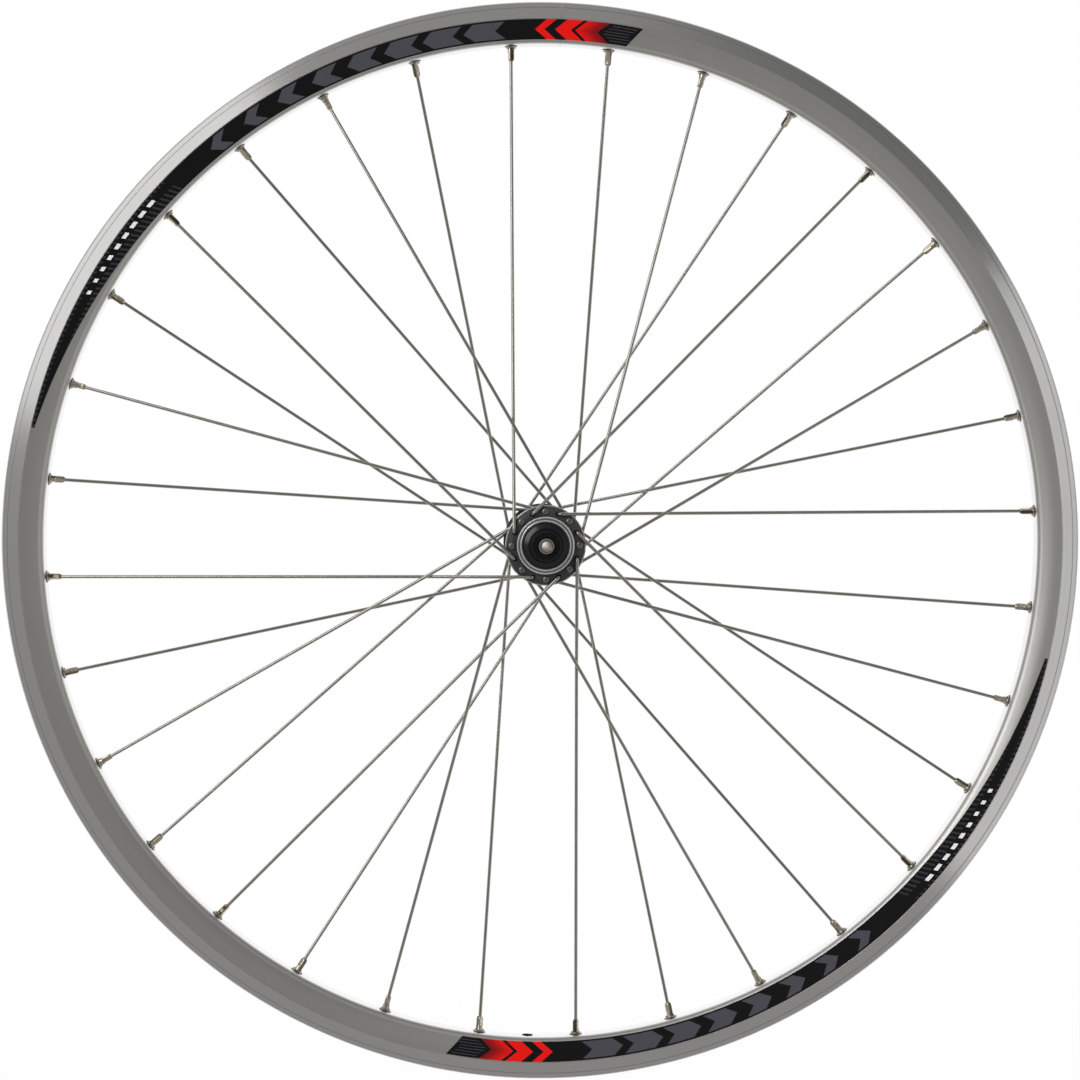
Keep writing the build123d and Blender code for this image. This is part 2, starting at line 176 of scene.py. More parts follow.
rimFinish = {
    "trackColor": rgb(0.66, 0.66, 0.655),
    "sideColor": rgb(0.575, 0.565, 0.55),
    "sideShade": rgb(0.56, 0.55, 0.53),
    "shadeFrom": 0.35,
    "shoulder": rgb(0.53, 0.522, 0.508),
    "shoulderShadeFrom": 295.6 * mm,  # painted shade: the sidewall is painted darker where it turns into the spoke bed
    "shoulderShadeTo": 294.6 * mm,
    "ridgeHighlight": rgb(0.73, 0.722, 0.706),
    "ridgeAt": 295.95 * mm,  # a soft ridge just above the turn, painted lighter as a painted highlight
    "ridgeHalf": 1.05 * mm,
    "ridgeCore": 0.21 * mm,
    "ridgeLean": 0.06,
    "bedHighlight": rgb(0.98, 0.978, 0.97),
    "bedFrom": 294.15 * mm,  # the bed is painted near white, a painted highlight
    "bedTo": 293.4 * mm,
    "valveShade": rgb(0.06, 0.058, 0.055),
    "holeRadius": 3.32 * mm,
    "grooveShade": rgb(0.49, 0.49, 0.487),
    "lineAt": 313.7 * mm,    # painted shade along the wear groove
    "lineHalf": 0.4 * mm,
    "lineCore": 0.12 * mm,
    "trackFrom": 307.5 * mm,
    "trackHalfWidth": 9.6 * mm,
    "trackLean": 0.49,       # the turning marks' outward faces, as a slope
    "trackRoughness": 0.2,
    "ringPitch": 0.9 * mm,
    "ringTilt": 0.05,
    "rollFrom": 305.0 * mm,  # the sidewall rolls inward toward the spoke bed
    "rollTo": 296.0 * mm,
    "rollLean": 0.254,
    "sideRoughness": 0.42,
    "cloud": 38.0,
    "cloudSwing": 0.06,
    "grain": 2600.0,
    "grainSwing": 0.06,
}


def makeRimMaterial():
    # satin alloy with turned brake tracks; the spoke bed is painted near white as a painted highlight
    f = rimFinish
    material, kit = startMaterial("satinAlloy")
    place = objectPlace(kit)
    way, radius = offAxle(kit, place)
    fromMiddle = kit.call("ABSOLUTE", kit.part(place, "Y"))
    onTrack = (radius > f["trackFrom"]) * (fromMiddle > f["trackHalfWidth"])
    cloud = kit.noise(place, f["cloud"], detail=3.0)
    grain = kit.noise(place, f["grain"])
    ridge = kit.line(radius, f["ridgeAt"], f["ridgeHalf"], f["ridgeCore"])
    groove = kit.line(radius, f["lineAt"], f["lineHalf"], f["lineCore"])
    inHole = kit.vector("LENGTH", kit.vector("MULTIPLY", place, (1, 1, 0)), out="Value") < f["holeRadius"]
    paintedValveMask = inHole * (kit.part(place, "Z") < 0.0)
    color = kit.fade(cloud, f["sideColor"], f["sideShade"], f["shadeFrom"])
    # painted shade where the sidewall turns into the spoke bed
    color = kit.fade(radius, color, f["shoulder"], f["shoulderShadeFrom"], f["shoulderShadeTo"])
    # painted highlight along the ridge
    color = kit.blend(ridge, color, f["ridgeHighlight"])
    # the spoke bed painted near white as a painted highlight
    color = kit.fade(radius, color, f["bedHighlight"], f["bedFrom"], f["bedTo"])
    # painted shade inside the valve hole
    color = kit.blend(paintedValveMask, color, f["valveShade"])
    # painted shade along the wear groove on the track
    color = kit.blend(onTrack, color, kit.blend(groove, f["trackColor"], f["grooveShade"]))
    roughness = f["sideRoughness"] + cloud.swing(f["cloudSwing"]) + grain.swing(f["grainSwing"])
    roughness = roughness + onTrack * (f["trackRoughness"] - f["sideRoughness"])
    rings = kit.lineNoise(radius, 1.0 / f["ringPitch"]).swing(f["ringTilt"])
    roll = kit.ramp(radius, f["rollFrom"], f["rollTo"]) * (fromMiddle < f["trackHalfWidth"])
    inward = roll * f["rollLean"] + ridge * f["ridgeLean"]
    normal = leanNormal(kit, way, onTrack * (f["trackLean"] + rings) - inward)
    sockets = {"Base Color": color, "Metallic": 1.0, "Roughness": roughness, "Normal": normal}
    return endMaterial(material, kit, sockets)


eyeletFinish = {
    "name": "platedEyelet",
    "bright": rgb(0.4, 0.385, 0.355),
    "shade": rgb(0.28, 0.268, 0.245),
    # painted shade at the eyelet's outer edge, where the flare meets the rim
    "paintedDark": rgb(0.05, 0.044, 0.036),
    "roughness": 0.2,
    "cloud": 900.0,
    "cloudSwing": 0.14,
    "grain": 8100.0,
    "grainSwing": 0.07,
}
nippleFinish = {
    "name": "nickelNipple",
    "bright": rgb(0.8, 0.745, 0.65),
    "shade": rgb(0.56, 0.49, 0.39),
    # painted dark reflection on two opposite flats
    "paintedDark": rgb(0.13, 0.1, 0.068),
    "roughness": 0.15,
    "cloud": 700.0,
    "cloudSwing": 0.1,
    "grain": 6300.0,
    "grainSwing": 0.05,
}


def makePlated(f):
    # nickel plate, cloudy and finely grained, with painted shade where the piece's own tone says
    material, kit = startMaterial(f["name"])
    place = objectPlace(kit)
    tone = kit.add("ShaderNodeAttribute", {"attribute_name": "tone"}, out="Fac")
    cloud = kit.noise(place, f["cloud"], detail=3.0)
    grain = kit.noise(place, f["grain"])
    sockets = {
        "Base Color": kit.blend(tone, kit.fade(cloud, f["bright"], f["shade"]), f["paintedDark"]),
        "Metallic": 1.0,
        "Roughness": f["roughness"] + cloud.swing(f["cloudSwing"]) + grain.swing(f["grainSwing"]),
    }
    return endMaterial(material, kit, sockets)


spokeFinish = {
    "wire": rgb(0.47, 0.452, 0.42),
    "shade": rgb(0.42, 0.404, 0.373),
    "head": rgb(0.27, 0.266, 0.258),
    "roughness": 0.17,
    "headRoughness": 0.3,
    "cloud": 130.0,
    "cloudSwing": 0.06,
}


def makeSpokeMaterial():
    # drawn wire in two close tones, with duller pressed heads
    f = spokeFinish
    material, kit = startMaterial("stainlessWire")
    head = kit.add("ShaderNodeAttribute", {"attribute_name": "head"}, out="Fac")
    cloud = kit.noise(objectPlace(kit), f["cloud"], detail=3.0)
    duller = head * (f["headRoughness"] - f["roughness"])
    sockets = {
        "Base Color": kit.blend(head, kit.fade(cloud, f["wire"], f["shade"]), f["head"]),
        "Metallic": 1.0,
        "Roughness": f["roughness"] + cloud.swing(f["cloudSwing"]) + duller,
    }
    return endMaterial(material, kit, sockets)


bearingFinish = {
    "ground": rgb(0.6, 0.6, 0.6),
    "shade": rgb(0.5, 0.5, 0.5),
    "roughness": 0.2,
    "cloud": 240.0,
    "cloudSwing": 0.1,
    "pitch": 0.1 * mm,
    "tilt": 0.4,
    "ringPitch": 0.4 * mm,
    "ringSlant": 0.7,
}


def makeBearingMaterial():
    # steel turned about the axle
    f = bearingFinish
    material, kit = startMaterial("bearingSteel")
    place = objectPlace(kit)
    way, radius = offAxle(kit, place)
    cloud = kit.noise(place, f["cloud"])
    sockets = {
        "Base Color": kit.fade(turnedRings(kit, place, radius, f), f["ground"], f["shade"]),
        "Metallic": 1.0,
        "Roughness": f["roughness"] + cloud.swing(f["cloudSwing"]),
        "Normal": turnedNormal(kit, way, radius, f),
    }
    return endMaterial(material, kit, sockets)


capFinish = {
    "bead": rgb(0.93, 0.94, 0.96),
    "shade": rgb(0.82, 0.83, 0.85),
    # painted shade on the floor between the beads
    "floor": rgb(0.42, 0.425, 0.435),
    "beadMetal": 0.78,       # clear plate over the beads scatters some light
    "inner": 14.62 * mm,
    "outer": 15.68 * mm,
    "soft": 0.14 * mm,
    "roughness": 0.26,
    "cloud": 240.0,
    "cloudSwing": 0.1,
    "pitch": 0.09 * mm,
    "tilt": 0.5,
    "ringPitch": 0.36 * mm,
    "ringSlant": 0.7,
}


def makeCapMaterial():
    # two bright rolled beads with painted shade on the floor between them
    f = capFinish
    material, kit = startMaterial("brightCap")
    place = objectPlace(kit)
    way, radius = offAxle(kit, place)
    cloud = kit.noise(place, f["cloud"])
    floor = kit.ramp(radius, f["inner"], f["inner"] + f["soft"])
    floor = floor * kit.ramp(radius, f["outer"], f["outer"] - f["soft"])
    bead = kit.fade(turnedRings(kit, place, radius, f), f["bead"], f["shade"])
    sockets = {
        "Base Color": kit.blend(floor, bead, f["floor"]),
        "Metallic": f["beadMetal"] + floor * (1.0 - f["beadMetal"]),
        "Roughness": f["roughness"] + cloud.swing(f["cloudSwing"]),
        "Normal": turnedNormal(kit, way, radius, f),
    }
    return endMaterial(material, kit, sockets)


axleFinish = {
    "face": rgb(0.4, 0.35, 0.31),
    "shade": rgb(0.28, 0.245, 0.22),
    # painted light: the bore is painted bright
    "bore": rgb(0.86, 0.8, 0.74),
    "boreLightTo": 2.9 * mm,
    "roughness": 0.3,
    "cloud": 900.0,
    "cloudSwing": 0.16,
    "pitch": 0.1 * mm,
    "tilt": 0.4,
}


def makeAxleMaterial():
    # brown-grey steel, painted bright in the bore and round its mouth as painted light
    f = axleFinish
    material, kit = startMaterial("axleSteel")
    place = objectPlace(kit)
    way, radius = offAxle(kit, place)
    cloud = kit.noise(place, f["cloud"], detail=3.0)
    sockets = {
        "Base Color": kit.blend(radius < f["boreLightTo"], kit.fade(cloud, f["face"], f["shade"]), f["bore"]),
        "Metallic": 1.0,
        "Roughness": f["roughness"] + cloud.swing(f["cloudSwing"]),
        "Normal": turnedNormal(kit, way, radius, f),
    }
    return endMaterial(material, kit, sockets)


blackSkin = {
    "cloud": 160.0,
    "cloudSwing": 0.1,
    "grain": 2200.0,
    "grainSwing": 0.08,
    "bump": 0.05,
    "bumpDepth": 0.02 * mm,
}


def blackSockets(kit, place, f):
    # black anodised alloy: a dark skin with a satin sheen and a faint grain
    b = blackSkin
    cloud = kit.noise(place, b["cloud"], detail=3.0)
    grain = kit.noise(place, b["grain"])
    return cloud, {
        "Base Color": kit.fade(cloud, f["skin"], f["shade"]),
        "Roughness": f["roughness"] + cloud.swing(b["cloudSwing"]) + grain.swing(b["grainSwing"]),
        "Normal": kit.bump(grain, b["bump"], b["bumpDepth"]),
    }


nutFinish = {
    "skin": rgb(0.004, 0.004, 0.0045),
    "shade": rgb(0.007, 0.007, 0.0075),
    "roughness": 0.4,
    "specular": 0.22,
}


def makeNutMaterial():
    material, kit = startMaterial("blackNut")
    sockets = blackSockets(kit, objectPlace(kit), nutFinish)[1]
    sockets["Specular IOR Level"] = nutFinish["specular"]
    return endMaterial(material, kit, sockets)


hubFinish = {
    "skin": rgb(0.03, 0.03, 0.031),
    "shade": rgb(0.037, 0.037, 0.038),
    # worn alloy on the flange corners, also a painted highlight
    "wearAndGlint": rgb(0.55, 0.55, 0.56),
    "roughness": 0.42,
    "bareGloss": 0.2,
    "edgeFrom": 22.55 * mm,
    "edgeTo": 22.75 * mm,
    "faceFrom": 34.85 * mm,
    "faceTo": 35.05 * mm,
    "wornFrom": 0.25,        # of the cloud, so that the corner is rubbed in patches
    "wornTo": 0.5,
}


def makeHubMaterial():
    # rubbed bright along the flanges' outer corners: worn alloy that is also a painted highlight on the edge
    f = hubFinish
    material, kit = startMaterial("blackHub")
    place = objectPlace(kit)
    radius = offAxle(kit, place)[1]
    cloud, sockets = blackSockets(kit, place, f)
    fromMiddle = kit.call("ABSOLUTE", kit.part(place, "Y"))
    corner = kit.ramp(radius, f["edgeFrom"], f["edgeTo"]) * kit.ramp(fromMiddle, f["faceFrom"], f["faceTo"])
    wearAndGlint = corner * kit.ramp(cloud, f["wornFrom"], f["wornTo"])
    sockets["Base Color"] = kit.blend(wearAndGlint, sockets["Base Color"], f["wearAndGlint"])
    sockets["Metallic"] = wearAndGlint
    sockets["Roughness"] = sockets["Roughness"] - wearAndGlint * f["bareGloss"]
    return endMaterial(material, kit, sockets)


sealFinish = {
    "black": rgb(0.0025, 0.0025, 0.0038),
    "worn": rgb(0.005, 0.005, 0.007),
    "roughness": 0.42,
    "specular": 0.1,
    "neckCoat": 0.1,
    "skirtCoat": 0.9,
    "skirtFrom": 9.3 * mm,
    "skirtTo": 9.7 * mm,
    "lipFrom": 12.4 * mm,
    "lipTo": 12.9 * mm,
    "coatRoughness": 0.22,
    "coatTint": rgb(0.92, 0.95, 1.0),
    "cloud": 130.0,
    "cloudSwing": 0.14,
    "grain": 1500.0,
    "grainSwing": 0.08,
    "ridgePitch": 0.9 * mm,
    "ridgeShare": 0.12,
    "bump": 0.06,
    "bumpDepth": 0.03 * mm,
}


def makeRubber():
    # black rubber, smoother on the skirt than at the neck and the lip
    f = sealFinish
    material, kit = startMaterial("sealRubber")
    place = objectPlace(kit)
    radius = offAxle(kit, place)[1]
    cloud = kit.noise(place, f["cloud"])
    grain = kit.noise(place, f["grain"], detail=3.0)
    ridges = kit.call("SINE", radius * (2 * math.pi / f["ridgePitch"]))
    coat = kit.ramp(radius, f["skirtFrom"], f["skirtTo"], f["neckCoat"], f["skirtCoat"])
    coat = coat * kit.ramp(radius, f["lipTo"], f["lipFrom"])
    sockets = {
        "Base Color": kit.blend(cloud, f["black"], f["worn"]),
        "Roughness": f["roughness"] + cloud.swing(f["cloudSwing"]) + grain.swing(f["grainSwing"]),
        "Specular IOR Level": f["specular"],
        "Coat Weight": coat,
        "Coat Roughness": f["coatRoughness"],
        "Coat Tint": f["coatTint"],
        "Normal": kit.bump(grain + ridges * f["ridgeShare"], f["bump"], f["bumpDepth"]),
    }
    return endMaterial(material, kit, sockets)


stickerPrint = {
    "black": rgb(0.003, 0.003, 0.0035),
    "grey": rgb(0.066, 0.066, 0.08),
    "red": rgb(0.8, 0.006, 0.004),
    "deepRed": rgb(0.2, 0.003, 0.006),
    "white": rgb(0.86, 0.86, 0.86),
    "hatchGrey": rgb(0.03, 0.03, 0.037),
    # lengths in mm along the band from its blunt end, heights and widths as shares
    "redBars": {"start": 26.0, "pitch": 15.5, "count": 3, "firstWidth": 0.84, "lastWidth": 0.36},
    "greyBars": {"start": 86.0, "pitch": 25.0, "count": 8, "firstWidth": 0.74, "lastWidth": 0.3},
    "dashes": {"start": 309.0, "pitch": 8.0, "count": 9, "firstWidth": 0.62, "lastWidth": 0.3},
    "chevronDepth": 7.0,
    "slant": 6.0,
    "greyHalf": 0.42,
    "dashMiddle": 0.68,
    "dashHalf": 0.09,
    "hatchFrom": 296.0,
    "hatchPitch": 3.4,
    "hatchWidth": 0.4,
    "hatchBelow": 0.5,
    "hatchAbove": 0.86,
    "pinCount": 7.0,
    "pinWidth": 0.2,
    "pinFrom": 8.0,
    "pinTo": 23.0,
    "roughness": 0.42,
    "grain": 1800.0,
    "grainSwing": 0.12,
    "specular": 0.22,
}


def barRow(kit, place, bars):
    # a row of bars that thin out from the first to the last
    step = (place - bars["start"]) / bars["pitch"]
    last = bars["count"] - 1.0
    width = kit.ramp(kit.call("FLOOR", step), 0.0, last, bars["firstWidth"], bars["lastWidth"])
    return (kit.call("FRACT", step) < width) * (step > 0.0) * (step < bars["count"])


def makeStickerMaterial():
    # a printed film: chevrons that thin out along the band, then a hatched tail with a row of dashes
    p = stickerPrint
    material, kit = startMaterial("printedFilm")
    band = kit.add("ShaderNodeSeparateXYZ", {}, {0: kit.add("ShaderNodeUVMap", {"uv_map": "band"})})
    across = band.out("Y")
    fromMiddle = kit.call("ABSOLUTE", across - 0.5)
    chevron = band + fromMiddle * (2 * p["chevronDepth"])
    slanted = band - across * p["slant"]
    greyBars = barRow(kit, chevron, p["greyBars"]) * (fromMiddle < p["greyHalf"])
    redBars = barRow(kit, chevron, p["redBars"])
    onDashes = kit.call("ABSOLUTE", across - p["dashMiddle"]) < p["dashHalf"]
    dashes = barRow(kit, slanted, p["dashes"]) * onDashes
    hatch = (kit.call("FRACT", slanted / p["hatchPitch"]) < p["hatchWidth"]) * (slanted > p["hatchFrom"])
    hatch = hatch * (across < p["hatchBelow"]) + hatch * (across > p["hatchAbove"])
    pins = kit.call("FRACT", across * p["pinCount"]) < p["pinWidth"]
    pins = pins * (chevron > p["pinFrom"]) * (chevron < p["pinTo"])
    firstRed = p["redBars"]["start"]
    red = kit.fade(chevron, p["deepRed"], p["red"], firstRed, firstRed + p["redBars"]["pitch"])
    color = kit.blend(greyBars, p["black"], p["grey"])
    color = kit.blend(hatch, color, p["hatchGrey"])
    color = kit.blend(pins, color, p["grey"])
    color = kit.blend(redBars, color, red)
    color = kit.blend(dashes, color, p["white"])
    grain = kit.noise(objectPlace(kit), p["grain"])
    sockets = {
        "Base Color": color,
        "Roughness": p["roughness"] + grain.swing(p["grainSwing"]),
        "Specular IOR Level": p["specular"],
    }
    return endMaterial(material, kit, sockets)


finishes = {
    "rim": makeRimMaterial(),
    "eyelet": makePlated(eyeletFinish),
    "nipple": makePlated(nippleFinish),
    "spoke": makeSpokeMaterial(),
    "hub": makeHubMaterial(),
    "cap": makeCapMaterial(),
    "steel": makeAxleMaterial(),
    "bearing": makeBearingMaterial(),
    "nut": makeNutMaterial(),
    "rubber": makeRubber(),
    "sticker": makeStickerMaterial(),
}
print("materials made:", len(finishes))


# Mesh building

def newObject(name, mesh):
    thing = bpy.data.objects.new(name, mesh)
    bpy.context.scene.collection.objects.link(thing)
    return thing


def newMesh(name, points, faces):
    mesh = bpy.data.meshes.new(name)
    mesh.from_pydata([tuple(p) for p in points], [], faces)
    mesh.update()
    return mesh


def smooth(thing, angle):
    thing.data.shade_smooth()
    thing.data.set_sharp_from_angle(angle=math.radians(angle))
    return thing


def outwardAt(angle, radius, y=0.0):
    # clockwise from the top, seen from the right side
    turn = math.radians(angle)
    return Vector((radius * math.sin(turn), y, radius * math.cos(turn)))


def roundedLoop(corners, support, arcStep):
    # corners are (radius, y, rounding); each straight stretch gets a point near its ends for clean shading
    count = len(corners)
    mostOfRun = 0.45  # a rounding leaves some of each straight stretch
    arcs = []
    for i, (r, y, rounding) in enumerate(corners):
        here = Vector((r, y))
        before = Vector(corners[i - 1][:2]) - here
        after = Vector(corners[(i + 1) % count][:2]) - here
        if rounding == 0:
            arcs.append([here])
            continue
        half = before.angle(after) / 2
        reach = min(rounding / math.tan(half), mostOfRun * before.length, mostOfRun * after.length)
        radius = reach * math.tan(half)
        centre = here + (before.normalized() + after.normalized()).normalized() * (radius / math.sin(half))
        start = here + before.normalized() * reach - centre
        end = here + after.normalized() * reach - centre
        turn = start.angle_signed(end)
        steps = max(2, math.ceil(math.degrees(abs(turn)) / arcStep))
        spins = [Matrix.Rotation(-turn * k / steps, 2) for k in range(steps + 1)]
        arcs.append([centre + spin @ start for spin in spins])
    loop = []
    for i, arc in enumerate(arcs):
        loop += arc
        start, end = arc[-1], arcs[(i + 1) % count][0]
        run = end - start
        if run.length > 4 * support:
            loop.append(start + run.normalized() * support)
            loop.append(end - run.normalized() * support)
    return loop


def mirroredHalf(half):
    return half + [(r, -y, rounding) for r, y, rounding in reversed(half)]


def lathe(name, corners, shape):
    # spins a section in mm about the axle, as finely as the piece's own shape says
    loop = roundedLoop(corners, shape["support"], shape["arcStep"])
    steps = shape["steps"]
    area = sum(a.x * b.y - b.x * a.y for a, b in zip(loop, loop[1:] + loop[:1]))
    if area > 0:
        loop.reverse()
    n = len(loop)
    points = []
    for i in range(steps):
        points += [outwardAt(360.0 * i / steps, p.x * mm, p.y * mm) for p in loop]
    faces = []
    for i in range(steps):
        a, b = i * n, ((i + 1) % steps) * n
        for j in range(n):
            k = (j + 1) % n
            faces.append((a + j, a + k, b + k, b + j))
    return newObject(name, newMesh(name, points, faces))


def ringStack(rings, place):
    # joins rings of points, each drawn about Z in mm, into one closed solid
    n = len(rings[0])
    points = [place @ (Vector(p) * mm) for ring in rings for p in ring]
    faces = [tuple(reversed(range(n)))]
    for i in range(len(rings) - 1):
        a, b = i * n, (i + 1) * n
        faces += [(a + j, a + (j + 1) % n, b + (j + 1) % n, b + j) for j in range(n)]
    last = (len(rings) - 1) * n
    faces.append(tuple(range(last, last + n)))
    return points, faces


def roundRing(radius, z, sides, flats=None):
    # a circle, or a circle with four flats at a distance from its centre
    ring = []
    for i in range(sides):
        turn = 2 * math.pi * (i + 0.5) / sides
        reach = radius
        if flats:
            offset = (turn + math.pi / 4) % (math.pi / 2) - math.pi / 4
            reach = min(radius, flats / math.cos(offset))
        ring.append((reach * math.cos(turn), reach * math.sin(turn), z))
    return ring


def joinSolids(name, solids):
    points, faces = [], []
    for more, sides in solids:
        base = len(points)
        points += more
        faces += [tuple(base + i for i in face) for face in sides]
    return newObject(name, newMesh(name, points, faces))


def markTone(thing, tones):
    # one number for each point, which the plated finishes read
    layer = thing.data.attributes.new("tone", "FLOAT", "POINT")
    layer.data.foreach_set("value", tones)


def standing(origin, zAxis, xHint=(0, 1, 0)):
    z = Vector(zAxis).normalized()
    x = Vector(xHint)
    x = (x - z * x.dot(z)).normalized()
    turn = Matrix((x, z.cross(x), z)).transposed().to_4x4()
    return Matrix.Translation(Vector(origin)) @ turn


def pegSolid(origin, axis, radius, length, sides=40):
    rings = [roundRing(radius, -length / 2, sides), roundRing(radius, length / 2, sides)]
    return ringStack(rings, standing(origin, axis))


# Geometry Nodes: rings of copies about the axle, cuts by such rings, and wire along paths

def startTree(name, inputs):
    tree = bpy.data.node_groups.new(name, "GeometryNodeTree")
    tree.interface.new_socket(name="Geometry", in_out="INPUT", socket_type="NodeSocketGeometry")
    for label, kind in inputs.items():
        tree.interface.new_socket(name=label, in_out="INPUT", socket_type="NodeSocket" + kind)
    tree.interface.new_socket(name="Geometry", in_out="OUTPUT", socket_type="NodeSocketGeometry")
    kit = NodeKit(tree)
    return tree, kit, kit.add("NodeGroupInput")


def ringOfCopies(kit, geometry, count):
    # one copy at the same place turned about Y for each step of a full circle
    points = kit.add("GeometryNodePoints", {}, {"Count": count})
    index = kit.add("GeometryNodeInputIndex")
    angle = index * (2 * math.pi) / count
    turn = kit.add("FunctionNodeAxisAngleToRotation", {}, {"Axis": (0, 1, 0), "Angle": angle})
    single = kit.add("GeometryNodeGeometryToInstance", {}, {0: geometry})
    sockets = {"Points": points, "Instance": single, "Rotation": turn}
    copies = kit.add("GeometryNodeInstanceOnPoints", {}, sockets)
    return kit.add("GeometryNodeRealizeInstances", {}, {"Geometry": copies})


def endTree(kit, geometry, material):
    done = kit.add("GeometryNodeSetMaterial", {}, {"Geometry": geometry, "Material": material})
    kit.add("NodeGroupOutput", {}, {0: done})


def makeRepeatTree():
    tree, kit, given = startTree("ringRepeat", {"Count": "Int", "Material": "Material"})
    copies = ringOfCopies(kit, given, given.out("Count"))
    endTree(kit, copies, given.out("Material"))
    return tree


def makeCutTree():
    tree, kit, given = startTree("ringCut", {"Cutter": "Object", "Count": "Int", "Material": "Material"})
    cutter = kit.add("GeometryNodeObjectInfo", {}, {"Object": given.out("Cutter")}, "Geometry")
    cutters = ringOfCopies(kit, cutter, given.out("Count"))
    settings = {"operation": "DIFFERENCE", "solver": "MANIFOLD"}
    cut = kit.add("GeometryNodeMeshBoolean", settings, {"Mesh 1": given, "Mesh 2": cutters})
    endTree(kit, cut, given.out("Material"))
    return tree


def makeWireTree():
    inputs = {"Heads": "Object", "Radius": "Float", "Sides": "Int", "Count": "Int", "Material": "Material"}
    tree, kit, given = startTree("lacedWire", inputs)
    sockets = {"Resolution": given.out("Sides"), "Radius": given.out("Radius")}
    section = kit.add("GeometryNodeCurvePrimitiveCircle", {}, sockets)
    sockets = {"Curve": given, "Profile Curve": section, "Fill Caps": True}
    wire = kit.add("GeometryNodeCurveToMesh", {}, sockets)
    heads = kit.add("GeometryNodeObjectInfo", {}, {"Object": given.out("Heads")}, "Geometry")
    sockets = {"Geometry": heads, "Name": "head", "Value": 1.0}
    heads = kit.add("GeometryNodeStoreNamedAttribute", {}, sockets)
    both = kit.add("GeometryNodeJoinGeometry", {}, {0: wire})
    kit.tree.links.new(heads.socket, both.socket.node.inputs[0])
    copies = ringOfCopies(kit, both, given.out("Count"))
    endTree(kit, copies, given.out("Material"))
    return tree


def addNodes(thing, tree, values):
    modifier = thing.modifiers.new(tree.name, "NODES")
    modifier.node_group = tree
    for item in tree.interface.items_tree:
        if item.in_out == "INPUT" and item.name in values:
            modifier[item.identifier] = values[item.name]


def bake(thing, name):
    # turns the result of the modifiers into a plain mesh of its own
    depsgraph = bpy.context.evaluated_depsgraph_get()
    depsgraph.update()
    mesh = bpy.data.meshes.new_from_object(thing.evaluated_get(depsgraph))
    thing.modifiers.clear()
    bpy.data.objects.remove(thing)
    mesh.name = name
    return newObject(name, mesh)


def dropTools(*tools):
    for tool in tools:
        bpy.data.objects.remove(tool)


repeatTree = makeRepeatTree()
cutTree = makeCutTree()
wireTree = makeWireTree()


def settle(thing, body, slot, *nodes):
    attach(thing, body)
    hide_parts(*nodes)
    return thing


def paint(thing, finish):
    thing.data.materials.clear()
    thing.data.materials.append(finishes[finish])
    return thing


def turnedPiece(name, corners, shape, finish):
    return smooth(paint(lathe(name, corners, shape), finish), angle=50.0)


# Lacing: the same rule as the frame's wheel, 32 spokes crossed three times

lacing = {
    "groups": 8,
    "groupSize": 4,
    "crosses": 3,
    "windup": 3.0,
    "holeCircle": 19.4925,
    "flange": 35.0,
    "flangeThick": 3.2,
    "bedMiddle": 294.5,
    "wire": 2.0,
    "elbowBend": 2.0,
    "crossingBend": 60.0,
    "crossingGap": 0.15,
    "threadEnd": 2.9,       # past the middle of the spoke bed
}
spokeCount = lacing["groups"] * lacing["groupSize"]
spokePitch = 360.0 / spokeCount


def rimAngle(number):
    return (number - 0.5) * spokePitch


def runsOutside(number):
    return number % lacing["groupSize"] in (0, 3)


def hubAngle(number):
    lace = lacing["crosses"] * 2 * spokePitch
    return rimAngle(number) + (-lace if runsOutside(number) else lace) + lacing["windup"]


def partner(number):
    return number - 2 if runsOutside(number) else number + 2


def elbowY(number):
    reach = lacing["flangeThick"] / 2 + lacing["elbowBend"]
    return lacing["flange"] + (reach if runsOutside(number) else -reach)


def lastCrossing(number):
    start = outwardAt(hubAngle(number), lacing["holeCircle"])
    run = outwardAt(rimAngle(number), lacing["bedMiddle"]) - start
    otherStart = outwardAt(hubAngle(partner(number)), lacing["holeCircle"])
    otherRun = outwardAt(rimAngle(partner(number)), lacing["bedMiddle"]) - otherStart
    share = (otherStart - start).cross(otherRun).y / run.cross(otherRun).y
    return start + run * share, share


def spokeCorners(number):
    # head, elbow, last crossing and hole in the rim
    side = -1 if number % 2 == 0 else 1
    hole = outwardAt(hubAngle(number), lacing["holeCircle"])
    cross, share = lastCrossing(number)
    otherShare = lastCrossing(partner(number))[1]
    level = (elbowY(number) * (1 - share) + elbowY(partner(number)) * (1 - otherShare)) / 2
    apart = (lacing["wire"] + lacing["crossingGap"]) / 2
    woven = level + (-apart if runsOutside(number) else apart)
    headSide = -1 if runsOutside(number) else 1
    head = lacing["flange"] + headSide * lacing["flangeThick"] / 2
    return [
        Vector((hole.x, side * head, hole.z)),
        Vector((hole.x, side * elbowY(number), hole.z)),
        Vector((cross.x, side * woven, cross.z)),
        outwardAt(rimAngle(number), lacing["bedMiddle"]),
    ]


def bentPath(corners, bends, steps):
    # straight runs joined by tangent arcs
    path = [corners[0]]
    for before, here, after, bend in zip(corners, corners[1:], corners[2:], bends):
        back = (before - here).normalized()
        ahead = (after - here).normalized()
        half = back.angle(ahead) / 2
        centre = here + (back + ahead).normalized() * (bend / math.sin(half))
        start = here + back * (bend / math.tan(half)) - centre
        end = here + ahead * (bend / math.tan(half)) - centre
        axis, turn = start.cross(end), start.angle(end)
        path += [centre + Matrix.Rotation(turn * k / steps, 3, axis) @ start for k in range(steps + 1)]
    path.append(corners[-1])
    return path


spokeShape = {
    "sides": 14,
    "bendSteps": 9,
    "sharp": 50.0,
    "intoHead": 0.6,
    "headSides": 20,
    # radius and place along the shank, from the domed top to the cone under it
    "head": [(0.57, -1.0), (1.368, -0.9125), (1.786, -0.65), (1.9, -0.5), (1.0, 0.0)],
}


